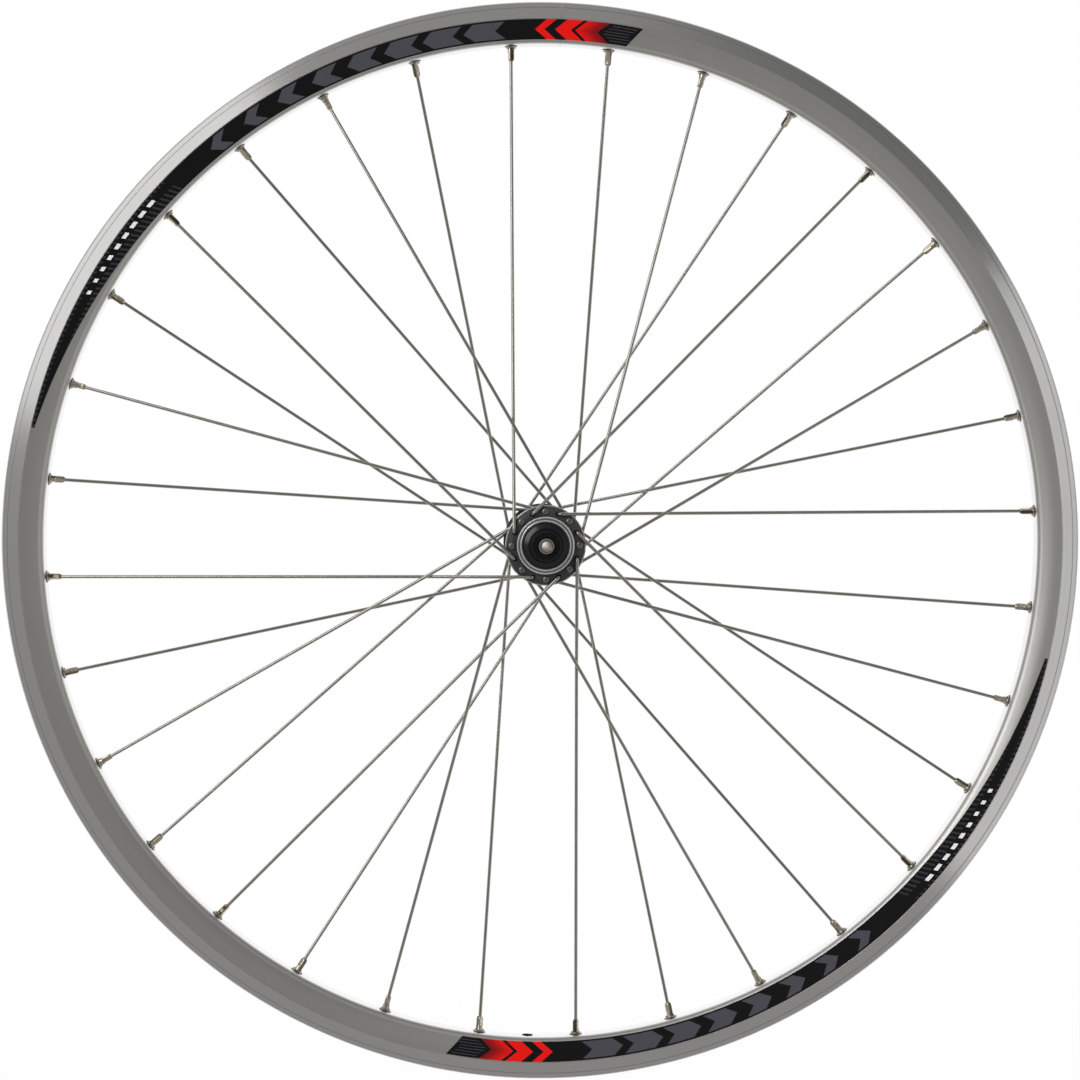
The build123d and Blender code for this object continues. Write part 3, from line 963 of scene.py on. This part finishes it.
def makeSpokes():
    s = spokeShape
    curve = bpy.data.curves.new("spokePaths", "CURVE")
    curve.dimensions = "3D"
    rings = [roundRing(radius, z, s["headSides"]) for radius, z in s["head"]]
    heads = []
    for number in range(lacing["groupSize"]):
        head, elbow, cross, rimHole = spokeCorners(number)
        shank = (elbow - head).normalized()
        top = head - shank * s["intoHead"]
        end = rimHole + (rimHole - cross).normalized() * lacing["threadEnd"]
        bends = lacing["elbowBend"], lacing["crossingBend"]
        path = bentPath([top, elbow, cross, end], bends, s["bendSteps"])
        spline = curve.splines.new("POLY")
        spline.points.add(len(path) - 1)
        for point, place in zip(spline.points, path):
            point.co = (*(place * mm), 1.0)
        heads.append(ringStack(rings, standing(head * mm, shank, (0, 0, 1))))
    paths = newObject("spokePaths", curve)
    headTool = joinSolids("spokeHeads", heads)
    addNodes(paths, wireTree, {
        "Heads": headTool,
        "Radius": lacing["wire"] / 2 * mm,
        "Sides": s["sides"],
        "Count": lacing["groups"],
        "Material": finishes["spoke"],
    })
    spokes = smooth(bake(paths, "laced_spokes"), s["sharp"])
    dropTools(headTool)
    names = [f"spoke_{n + 1:02d}" for n in range(spokeCount)]
    return settle(spokes, "wheel", "spoke", *names)


nippleShape = {
    "length": 14.0,
    "radius": 2.0,
    "flats": 1.6,
    "neck": 6.6,
    "bore": 1.05,
    "headRadius": 3.1,
    "headHeight": 2.0,
    "seat": 1.9,            # past the middle of the spoke bed
    "firstTurn": 22.0,      # the flats end up wherever each nipple was last turned
    "nextTurn": 37.0,
    "paintedDarkSpread": 1.5,          # how far the painted dark reflection spreads from the middle of its flats
    "sides": 40,
    "sharp": 30.0,
}


def makeNipples():
    s = nippleShape
    tip = s["seat"] + s["headHeight"] - s["length"]
    flatsEnd = s["seat"] - s["neck"]
    n, r, flats = s["sides"], s["radius"], s["flats"]
    seat, head, top = s["seat"], s["headRadius"], s["seat"] + s["headHeight"]
    # radius, place along the nipple and, where it is square, the distance to its flats
    profile = [
        (s["bore"], tip + 0.25, None),
        (s["bore"] + 0.1, tip, None),
        (r - 0.7, tip, flats),
        (r - 0.55, tip + 0.1, flats),
        (r - 0.24, tip + 0.7, flats),
        (r - 0.06, tip + 1.2, flats),
        (r, tip + 1.6, flats),
        (r, flatsEnd - 0.45, flats),
        (r, flatsEnd - 0.1, flats + 0.1),
        (r - 0.04, flatsEnd, None),
        (r, flatsEnd + 0.12, None),
        (r, seat - 0.1, None),
        (r + 0.1, seat + 0.1, None),
        (head - 0.12, seat + 1.0, None),
        (head, seat + 1.2, None),
        (head, top - 0.25, None),
        (head - 0.3, top, None),
    ]
    rings = [roundRing(radius, z, n, flat) for radius, z, flat in profile]
    solids = []
    for number in range(lacing["groupSize"]):
        corners = spokeCorners(number)
        rimHole, run = corners[3], corners[3] - corners[2]
        turn = Matrix.Rotation(math.radians(s["firstTurn"] + s["nextTurn"] * number), 4, "Z")
        solids.append(ringStack(rings, standing(rimHole * mm, run) @ turn))
    nipples = joinSolids("nippleGroup", solids)
    # two opposite flats are painted darker than the other two, a painted dark reflection
    waves = [s["paintedDarkSpread"] * math.cos(4 * math.pi * (j + 0.5) / n) for j in range(n)]
    around = [min(1.0, max(0.0, wave)) for wave in waves]
    markTone(nipples, around * (len(rings) * len(solids)))
    addNodes(nipples, repeatTree, {"Count": lacing["groups"], "Material": finishes["nipple"]})
    nipples = smooth(bake(nipples, "square_nipples"), s["sharp"])
    return settle(nipples, "wheel", "nipple", "spoke_nipples")


eyeletShape = {
    "bore": 2.4,
    "sleeve": 2.8,
    "flange": 3.7,
    "lip": 3.3,
    "bedHalf": 1.15,        # half the bed's wall and its gap
    "flangeThick": 1.35,
    "lipThick": 0.4,
    "paintedDark": 0.92,        # painted shade where the flare meets the rim
    "paintedDarkWide": 0.4,
    "sides": 40,
    "sharp": 40.0,
}


def makeEyelets():
    s = eyeletShape
    low, high = -s["bedHalf"], s["bedHalf"]
    flange, bore, mouth, top = s["flange"], s["bore"], low - s["flangeThick"], high + s["lipThick"]
    profile = [
        (s["sleeve"], low),
        (flange - 0.06, low),
        (flange, low - 0.1),
        (flange - 0.12, low - 0.3),
        (flange - 0.5, low - 0.58),
        (flange - 0.85, low - 0.9),
        (bore + 0.2, mouth),
        (bore + 0.06, mouth + 0.03),
        (bore, low - 0.2),
        (bore, top - 0.1),
        (bore + 0.1, top),
        (s["lip"], top),
        (s["lip"], high),
        (s["sleeve"], high),
    ]
    place = standing(outwardAt(rimAngle(0), lacing["bedMiddle"] * mm), outwardAt(rimAngle(0), 1.0))
    n, k = s["sides"], len(profile)
    points = [place @ (Vector(p) * mm) for r, z in profile for p in roundRing(r, z, n)]
    faces = []
    for i in range(k):
        a, b = i * n, ((i + 1) % k) * n
        faces += [(a + j, b + j, b + (j + 1) % n, a + (j + 1) % n) for j in range(n)]
    eyelets = newObject("eyelet", newMesh("eyelet", points, faces))
    tones = [s["paintedDark"] if r > flange - s["paintedDarkWide"] else 0.0 for r, z in profile]
    markTone(eyelets, [tone for tone in tones for j in range(n)])
    addNodes(eyelets, repeatTree, {"Count": spokeCount, "Material": finishes["eyelet"]})
    eyelets = smooth(bake(eyelets, "flared_eyelets"), s["sharp"])
    return settle(eyelets, "wheel", "eyelet", "rim_eyelets")


rimShape = {
    "outer": 317.0,
    "halfWidth": 10.0,
    "seat": 311.0,
    "well": 308.2,
    "bed": 293.4,
    "bedHalf": 5.4,
    "bedRound": 3.0,
    "tipRound": 0.9,
    "trackLow": 307.6,
    "trackStep": 0.25,
    "groove": 313.7,
    "grooveHalf": 0.3,
    "grooveDepth": 0.06,
    "insideY": 8.3,
    "hookY": 7.5,
    "hookLow": 314.8,
    "ledgeY": 6.0,
    "wellY": 4.4,
    "bedWall": 2.2,
    "tyreBedWall": 1.4,
    "sideWall": 1.6756,     # measured along the axle
    "eyeletHole": 2.85,
    "accessHole": 4.3,
    "holeDepth": 5.0,
    "valveHole": 3.25,
    "valveDepth": 40.0,
    "seam": 0.12,
    "seamHalfWide": 20.0,
    "seamHalfDeep": 30.0,
    "steps": 384,
    "support": 0.12,
    "arcStep": 18.0,
    "sharp": 34.0,
    "hollow": {"steps": 96, "support": 50.0, "arcStep": 24.0},
}


def sideY(radius):
    s = rimShape
    top = s["trackLow"] - s["trackStep"]
    slope = (s["halfWidth"] - s["trackStep"] - s["bedHalf"]) / (top - s["bed"])
    return s["bedHalf"] + (radius - s["bed"]) * slope


def makeRim():
    s = rimShape
    sideTop = s["trackLow"] - s["trackStep"]
    outer = mirroredHalf([
        (s["well"], s["wellY"], 0.5),
        (s["seat"], s["ledgeY"], 0.5),
        (s["seat"], s["insideY"], 0.4),
        (s["hookLow"] - 0.8, s["insideY"], 0.4),
        (s["hookLow"], s["hookY"], 0.3),
        (s["outer"], s["hookY"], s["tipRound"]),
        (s["outer"], s["halfWidth"], s["tipRound"]),
        (s["groove"] + s["grooveHalf"], s["halfWidth"], 0.2),
        (s["groove"], s["halfWidth"] - s["grooveDepth"], 0.2),
        (s["groove"] - s["grooveHalf"], s["halfWidth"], 0.2),
        (s["trackLow"], s["halfWidth"], 0.08),
        (sideTop, s["halfWidth"] - s["trackStep"], 0.1),
        (s["bed"], s["bedHalf"], s["bedRound"]),
    ])
    low = s["bed"] + s["bedWall"]
    shelf = s["seat"] - s["tyreBedWall"]
    high = sideY(sideTop) - s["sideWall"]
    hollow = mirroredHalf([
        (s["well"] - s["tyreBedWall"], s["wellY"], 0),
        (shelf, s["ledgeY"], 0),
        (shelf, high, 0),
        (sideTop, high, 0),
        (low, sideY(low) - s["sideWall"], 0),
    ])
    rim = lathe("rimRing", outer, s)
    hollowTool = lathe("rimHollow", hollow, s["hollow"])
    eyeletAt = outwardAt(rimAngle(0), lacing["bedMiddle"] * mm)
    accessAt = outwardAt(rimAngle(0), s["well"] * mm)
    direction = outwardAt(rimAngle(0), 1.0)
    holeTool = joinSolids("rimHoles", [
        pegSolid(eyeletAt, direction, s["eyeletHole"], s["holeDepth"]),
        pegSolid(accessAt, direction, s["accessHole"], s["holeDepth"]),
    ])
    middle = outwardAt(180.0, (s["bed"] + s["outer"]) / 2 * mm)
    valveTool = joinSolids("valveHole", [pegSolid(middle, middle, s["valveHole"], s["valveDepth"])])
    seamAt = outwardAt(0.0, (s["bed"] + s["outer"]) / 2 * mm)
    wide, deep, thin = s["seamHalfWide"], s["seamHalfDeep"], s["seam"] / 2
    slot = [(wide, -thin), (wide, thin), (-wide, thin), (-wide, -thin)]
    seamRings = [[(x, y, z) for x, y in slot] for z in (-deep, deep)]
    seamTool = joinSolids("rimSeam", [ringStack(seamRings, standing(seamAt, seamAt))])
    for tool, count in ((hollowTool, 1), (holeTool, spokeCount), (valveTool, 1), (seamTool, 1)):
        addNodes(rim, cutTree, {"Cutter": tool, "Count": count, "Material": finishes["rim"]})
    rim = smooth(bake(rim, "rim_shell"), s["sharp"])
    dropTools(hollowTool, holeTool, valveTool, seamTool)
    return settle(rim, "wheel", "rim", "rim")


hubShape = {
    "barrel": 11.5,
    "flareAt": 18.06,
    "housing": 16.2925,
    "housingAt": 29.46,
    "flangeIn": 33.4,
    "flangeOut": 36.6,
    "flangeEdge": 23.2925,
    "edgeIn": 33.8,
    "edgeOut": 35.5,
    "end": 38.0,
    "cupSeat": 14.4425,
    "cupBack": 30.46,
    "bore": 8.5,
    "spokeHole": 1.25,
    "countersink": 0.35,
    "drillPast": 0.4,
    "drillSkin": 0.02,
    "drillSides": 28,
    "steps": 160,
    "support": 0.1,
    "arcStep": 15.0,
    "sharp": 34.0,
}


def makeHubShell():
    s = hubShape
    circle = lacing["holeCircle"]
    shell = lathe("hubBlank", mirroredHalf([
        (s["barrel"], s["flareAt"], 9.0),
        (s["housing"], s["housingAt"], 2.5),
        (s["housing"], s["flangeIn"], 1.2),
        (circle, s["flangeIn"], 0.4),
        (s["flangeEdge"], s["edgeIn"], 0.55),
        (s["flangeEdge"], s["edgeOut"], 0.55),
        (circle, s["flangeOut"], 0.6),
        (s["housing"], s["flangeOut"], 0.35),
        (s["housing"], s["end"], 0.2),
        (s["cupSeat"], s["end"], 0.1),
        (s["cupSeat"], s["cupBack"], 0.1),
        (s["bore"], s["cupBack"], 0.1),
    ]), s)
    # one drill for each flange, with a countersink at both of its faces
    sink, half = s["countersink"], lacing["flangeThick"] / 2
    hole, wide = s["spokeHole"], s["spokeHole"] + sink
    lower = [(wide, -half - s["drillPast"]), (wide, -half + s["drillSkin"]), (hole, -half + sink)]
    profile = lower + [(radius, -z) for radius, z in reversed(lower)]
    rings = [roundRing(radius, z, s["drillSides"]) for radius, z in profile]
    drills = []
    for number in (0, 1):
        side = -1 if number == 0 else 1
        at = outwardAt(hubAngle(number), circle * mm, side * lacing["flange"] * mm)
        drills.append(ringStack(rings, standing(at, (0, side, 0), (0, 0, 1))))
    drillTool = joinSolids("spokeDrills", drills)
    addNodes(shell, cutTree, {"Cutter": drillTool, "Count": spokeCount // 2, "Material": finishes["hub"]})
    shell = smooth(bake(shell, "hub_body"), s["sharp"])
    dropTools(drillTool)
    return settle(shell, "wheel", "hub", "hub_shell")


def onSide(corners, side):
    return [(r, y * sideSigns[side], rounding) for r, y, rounding in corners]


capShape = {
    "opening": 13.7025,
    "sleeve": 14.4025,
    "outer": 16.5925,
    "low": 36.32,
    "seat": 38.02,
    "face": 38.92,
    "bead": 0.86,
    "beadRound": 0.42,
    "sink": 0.4,            # from the beads down to the floor between them
    "flank": 0.2,
    "steps": 160,
    "support": 0.05,
    "arcStep": 12.0,
}


def makeDustCap(side):
    s = capShape
    inner, outer = s["opening"] + s["bead"], s["outer"] - s["bead"]
    cap = turnedPiece(f"bright_cap_{side}", onSide([
        (s["opening"], s["low"], 0.1),
        (s["sleeve"], s["low"], 0.1),
        (s["sleeve"], s["seat"], 0.1),
        (s["outer"], s["seat"], 0.12),
        (s["outer"], s["face"], s["beadRound"]),
        (outer, s["face"], s["beadRound"]),
        (outer - s["flank"], s["face"] - s["sink"], 0.1),
        (inner + s["flank"], s["face"] - s["sink"], 0.1),
        (inner, s["face"], s["beadRound"]),
        (s["opening"], s["face"], s["beadRound"]),
    ], side), s, "cap")
    return settle(cap, "wheel", "dust_cap", f"dust_cap_{side}")


sealShape = {
    "lip": 13.35,
    "low": 39.62,
    "lipTop": 40.0,
    "brim": 12.7,
    "brimAt": 40.6,
    "skirtTop": 9.85,
    "skirtAt": 41.7,
    "step": 0.2,
    "top": 9.2,
    "topAt": 45.1,
    "neck": 7.54,
    "shoulder": 10.42,
    "shoulderAt": 39.54,
    "steps": 128,
    "support": 0.06,
    "arcStep": 12.0,
}


def makeDustSeal(side):
    s = sealShape
    seal = turnedPiece(f"rubber_seal_{side}", onSide([
        (s["shoulder"], s["low"], 0.1),
        (s["lip"], s["low"], 0.3),
        (s["lip"], s["lipTop"], 0.3),
        (s["brim"], s["brimAt"], 0.5),
        (s["skirtTop"] + s["step"], s["skirtAt"], 0.2),
        (s["skirtTop"], s["skirtAt"] - s["step"] / 2, 0.1),
        (s["skirtTop"] - s["step"], s["skirtAt"] + s["step"], 0.2),
        (s["top"], s["topAt"], 0.4),
        (s["neck"], s["topAt"], 0.1),
        (s["neck"], s["shoulderAt"], 0.05),
        (s["shoulder"], s["shoulderAt"], 0.0),
    ], side), s, "rubber")
    return settle(seal, "axle", "seal", f"dust_seal_{side}")


nutShape = {
    "radius": 8.7,
    "bore": 4.52,
    "seat": 45.5,
    "face": 50.0,
    "chamfer": 0.7,
    "flats": 7.5,
    "flatsTo": 48.5,
    "blockHalfWide": 10.0,
    "blockHalfDeep": 5.0,
    "teeth": 36,
    "toothHalf": 0.24,
    "toothRise": 0.3,
    "toothDepth": 0.28,
    "toothFrom": 0.5,
    "toothPast": 1.0,
    "steps": 144,
    "support": 0.06,
    "arcStep": 20.0,
    "sharp": 32.0,
}


def makeLocknut(side):
    s = nutShape
    nut = lathe(f"nutBlank_{side}", onSide([
        (s["bore"], s["seat"], 0.1),
        (s["radius"], s["seat"], 0.15),
        (s["radius"], s["face"] - s["chamfer"], 0.2),
        (s["radius"] - s["chamfer"], s["face"], 0.15),
        (s["bore"] + s["chamfer"], s["face"], 0.12),
        (s["bore"], s["face"] - s["chamfer"], 0.12),
    ], side), s)
    sign = sideSigns[side]
    # two blocks beside the wrench flats, and one groove of the serrated face
    middle = (s["seat"] + s["flatsTo"]) / 2
    tall = s["flatsTo"] - s["seat"]
    wide, deep = s["blockHalfWide"], s["blockHalfDeep"]
    block = [(-wide, -deep), (wide, -deep), (wide, deep), (-wide, deep)]
    rings = [[(x, y, z) for x, y in block] for z in (-tall / 2, tall / 2)]
    blocks = []
    for up in (-1, 1):
        at = Vector((0, sign * middle, up * (s["flats"] + deep))) * mm
        blocks.append(ringStack(rings, standing(at, (0, 1, 0), (1, 0, 0))))
    flatTool = joinSolids("nutFlats", blocks)
    half, rise = s["toothHalf"], s["toothRise"]
    notch = [(-half, rise), (0.0, -s["toothDepth"]), (half, rise)]
    if sign < 0:
        notch = [(-x, -y) for x, y in notch]
    reach = s["bore"] + s["chamfer"] + s["toothFrom"], s["radius"] + s["toothPast"]
    rings = [[(x, y, z) for x, y in notch] for z in reach]
    at = Vector((0, sign * s["face"] * mm, 0))
    grooveTool = joinSolids("nutGroove", [ringStack(rings, standing(at, (0, 0, 1), (-1, 0, 0)))])
    addNodes(nut, cutTree, {"Cutter": flatTool, "Count": 1, "Material": finishes["nut"]})
    addNodes(nut, cutTree, {"Cutter": grooveTool, "Count": s["teeth"], "Material": finishes["nut"]})
    nut = smooth(bake(nut, f"serrated_nut_{side}"), s["sharp"])
    dropTools(flatTool, grooveTool)
    return settle(nut, "axle", "black_steel", f"locknut_{side}")


axleShape = {
    "bore": 2.6,
    "radius": 4.5,
    "endRadius": 4.3,
    "shoulder": 50.3,
    "end": 54.0,
    "chamfer": 0.5,
    "steps": 96,
    "support": 0.06,
    "arcStep": 18.0,
}


def makeAxle():
    s = axleShape
    axle = turnedPiece("hollow_axle", mirroredHalf([
        (s["bore"], s["end"], 0.2),
        (s["endRadius"] - s["chamfer"], s["end"], 0.12),
        (s["endRadius"], s["end"] - s["chamfer"], 0.15),
        (s["endRadius"], s["shoulder"], 0.02),
        (s["radius"], s["shoulder"], 0.02),
    ]), s, "steel")
    return settle(axle, "axle", "axle", "axle")


bandShape = {
    "blunt": 9.0,
    "arc": 88.0,
    "taper": 36.0,
    "tip": 0.01,
    "margin": 0.3,
    "slant": 8.0,
    "slantOver": 20.0,      # degrees past the taper in which the slant builds up
    "lift": 0.03,
    "thick": 0.15,
    "columns": 200,
    "rows": 12,
    "sharp": 40.0,
}


def makeSticker(index, side):
    b, s = bandShape, rimShape
    sideTop = s["trackLow"] - s["trackStep"]
    slope = math.atan2(sideY(sideTop) - sideY(s["bed"]), sideTop - s["bed"])
    high = sideTop - b["margin"]
    low = s["bed"] + s["bedRound"] * math.cos(slope) / math.tan((math.pi / 2 + slope) / 2) + b["margin"]
    height = high - low
    taperStart = b["blunt"] - b["arc"] + b["taper"]
    shift = height / (1 - math.cos(math.radians(b["taper"])))
    perDegree = math.radians(1.0) * (high + low) / 2

    def innerEdge(angle):
        # a circle set off the axle leaves through the band's outer edge at the tail
        away = math.radians(max(taperStart - angle, 0.0))
        root = (low + shift) ** 2 - (shift * math.sin(away)) ** 2
        return min(high - b["tip"], max(low, math.sqrt(root) - shift * math.cos(away)))

    points, marks = [], []
    for layer in (b["lift"] + b["thick"], b["lift"]):
        for i in range(b["columns"] + 1):
            base = b["blunt"] - b["arc"] + b["arc"] * i / b["columns"]
            share = min(1.0, max(0.0, (base - taperStart) / b["slantOver"]))
            lean = share * math.degrees(b["slant"] / high)
            edge = innerEdge(base)
            for j in range(b["rows"] + 1):
                radius = edge + (high - edge) * j / b["rows"]
                across = (radius - low) / height
                angle = base - lean * (1 - across)
                y = -(sideY(radius) + layer / math.cos(slope))
                points.append(outwardAt(angle + index * 180.0, radius * mm, y * mm))
                marks.append(((b["blunt"] - angle) * perDegree, across))
    n, m = b["rows"] + 1, b["columns"] + 1
    back = n * m
    faces = []
    for i in range(b["columns"]):
        for j in range(b["rows"]):
            q = (i * n + j, (i + 1) * n + j, (i + 1) * n + j + 1, i * n + j + 1)
            faces.append(tuple(reversed(q)))
            faces.append(tuple(back + k for k in q))
    outline = [i * n for i in range(m)]
    outline += [(m - 1) * n + j for j in range(1, n)]
    outline += [i * n + n - 1 for i in range(m - 2, -1, -1)]
    outline += list(range(n - 2, 0, -1))
    for a, c in zip(outline, outline[1:] + outline[:1]):
        faces.append((a, c, back + c, back + a))
    name = f"printed_band_{side}_{index + 1}"
    if side == "left":
        points = [Vector((-p.x, -p.y, p.z)) for p in points]
    mesh = newMesh(name, points, faces)
    layerMap = mesh.uv_layers.new(name="band")
    for loop in mesh.loops:
        layerMap.data[loop.index].uv = marks[loop.vertex_index]
    sticker = smooth(paint(newObject(name, mesh), "sticker"), b["sharp"])
    return settle(sticker, "wheel", "sticker", f"rim_sticker_{side}_{index + 1}")


made = [makeRim()]
print("rim made:", len(made[0].data.polygons), "faces")
made += [makeSpokes(), makeNipples(), makeEyelets()]
print("lacing made:", [len(m.data.polygons) for m in made[1:]])
made += [makeHubShell(), makeAxle()]
for side in sideSigns:
    made += [makeDustCap(side), makeDustSeal(side), makeLocknut(side)]
print("hub made:", len(made), "pieces so far")
for side in sideSigns:
    made += [makeSticker(index, side) for index in (0, 1)]
print("stickers made")

hiddenFinishes = {
    "rim_joint_sleeve": "rim",
    "bearing_cup": "bearing",
    "bearing_cone": "bearing",
    "bearing_balls": "bearing",
    "ball_retainer": "bearing",
    "lock_washer": "nut",
}
for name, node in cad.items():
    for start, finish in hiddenFinishes.items():
        if name.startswith(start):
            paint(node, finish)


# Stage, light and camera

stage = {
    "floorHeight": -0.3178,
    "floorFront": -2.4,
    "floorBack": 4.0,
    "floorHalf": 3.0,
    "floorColor": rgb(0.3, 0.3, 0.3),
    "footWhite": 0.985,      # the rest of the floor's share near the wheel keeps its shadow
    "footFade": 0.5,
    "white": rgb(1, 1, 1),
    "whiteFrom": -0.05,      # how far a direction points to the back
    "whiteTo": 0.45,
    "front": rgb(0.345, 0.34, 0.33),
    "dim": rgb(0.19, 0.19, 0.19),
    "dimToward": (0.53, -0.56, 0.635),
    "dimFrom": 0.86,
    "dimTo": 0.99,
    "lensSide": rgb(0.17, 0.168, 0.163),  # the unlit end of the room, where the camera stands
    "lensToward": (0.0, -1.0, 0.0),
    "lensFrom": 0.9,
    "lensTo": 0.985,
}


def makeFloorMaterial():
    # white where it is seen or mirrored, pale grey in the light that it gives back
    s = stage
    material, kit = startMaterial("paleFloor")
    depth = kit.call("ABSOLUTE", kit.part(objectPlace(kit), "Y"))
    path = kit.add("ShaderNodeLightPath", out="Is Camera Ray")
    seen = kit.call("MAXIMUM", path, path.out("Is Glossy Ray"))
    seen = kit.call("MAXIMUM", seen, path.out("Is Transmission Ray"))
    share = kit.ramp(depth, 0.0, s["footFade"], s["footWhite"], 1.0)
    plain = kit.add("ShaderNodeBsdfDiffuse", {}, {"Color": s["floorColor"]})
    white = kit.add("ShaderNodeEmission", {}, {"Color": s["white"], "Strength": 1.0})
    both = kit.add("ShaderNodeMixShader", {}, {0: seen * share, 1: plain, 2: white})
    kit.add("ShaderNodeOutputMaterial", {}, {"Surface": both})
    return material


def makeFloor():
    # the half before the wheel is left out of mirrors, so that the rim shows the dim room there
    s = stage
    material = makeFloorMaterial()
    half, z = s["floorHalf"], s["floorHeight"]
    halves = {"front_floor": (s["floorFront"], 0.0), "back_floor": (0.0, s["floorBack"])}
    for name, (near, far) in halves.items():
        points = [(-half, near, z), (half, near, z), (half, far, z), (-half, far, z)]
        floor = newObject(name, newMesh(name, points, [(0, 1, 2, 3)]))
        floor.visible_glossy = name == "back_floor"
        floor.visible_shadow = False
        floor.data.materials.append(material)


def makeWorld():
    # a dim room before the wheel, a white backdrop behind it
    s = stage
    world = bpy.data.worlds.new("studio")
    bpy.context.scene.world = world
    world.use_nodes = True
    world.node_tree.nodes.clear()
    kit = NodeKit(world.node_tree)
    direction = kit.add("ShaderNodeTexCoord", out="Generated")
    camera = kit.add("ShaderNodeLightPath", out="Is Camera Ray")
    dimward = kit.vector("DOT_PRODUCT", direction, s["dimToward"], "Value")
    room = kit.fade(dimward, s["front"], s["dim"], s["dimFrom"], s["dimTo"])
    lensward = kit.vector("DOT_PRODUCT", direction, s["lensToward"], "Value")
    room = kit.fade(lensward, room, s["lensSide"], s["lensFrom"], s["lensTo"])
    around = kit.fade(kit.part(direction, "Y"), room, s["white"], s["whiteFrom"], s["whiteTo"])
    color = kit.blend(camera, around, s["white"])
    shown = kit.add("ShaderNodeBackground", {}, {"Color": color, "Strength": 1.0})
    kit.add("ShaderNodeOutputWorld", {}, {"Surface": shown})


# Panels stand off the ring at a clock angle, tipped away from the axle line
# The lamps light what is matt, the others only show in what mirrors
panels = {
    "mirrorUpperLeft": {"clock": 304.0, "away": 56.0, "reach": 1.8, "size": (1.62, 0.9), "radiance": 0.69},
    "keyUpperLeft": {"clock": 304.0, "away": 35.0, "reach": 1.8, "size": (1.3, 0.42), "radiance": 3.7},
    "mirrorRight": {"clock": 93.5, "away": 58.0, "reach": 0.7, "size": (1.23, 0.28), "radiance": 0.46},
    "lampUpperLeft": {"clock": 305.0, "away": 45.0, "reach": 1.8, "size": (0.9, 0.9), "radiance": 10.2},
    "lampRight": {"clock": 80.0, "away": 45.0, "reach": 1.8, "size": (0.9, 0.9), "radiance": 6.3},
}
ringRadius = 0.31


def makePanels():
    for name, panel in panels.items():
        light = bpy.data.lights.new(name, "AREA")
        light.shape = "RECTANGLE"
        light.size, light.size_y = panel["size"]
        light.energy = panel["radiance"] * math.pi * light.size * light.size_y
        foot = outwardAt(panel["clock"], ringRadius)
        tip = math.radians(panel["away"])
        way = outwardAt(panel["clock"], math.sin(tip), -math.cos(tip))
        thing = newObject(name, light)
        sideways = outwardAt(panel["clock"] + 90.0, 1.0)
        thing.matrix_world = standing(foot + way * panel["reach"], way, sideways)
        thing.visible_camera = False
        thing.visible_diffuse = name.startswith("lamp")
        thing.visible_glossy = not thing.visible_diffuse


view = {
    "at": (-0.04537, -1.328, 0.0405),
    "toward": (-0.00217, 0.0, 0.00204),
    "lens": 74.75,
    "sensor": 36.0,
    "roll": 1.885,
}


def makeCamera():
    data = bpy.data.cameras.new("photoView")
    data.lens = view["lens"]
    data.sensor_width = view["sensor"]
    camera = newObject("photoView", data)
    ahead = (Vector(view["toward"]) - Vector(view["at"])).to_track_quat("-Z", "Y")
    roll = Matrix.Rotation(math.radians(view["roll"]), 4, "Z")
    camera.matrix_world = Matrix.Translation(view["at"]) @ ahead.to_matrix().to_4x4() @ roll
    bpy.context.scene.camera = camera


makeFloor()
makeWorld()
makePanels()
makeCamera()
bpy.context.scene.view_settings.view_transform = "Standard"
print("stage, light and camera set")
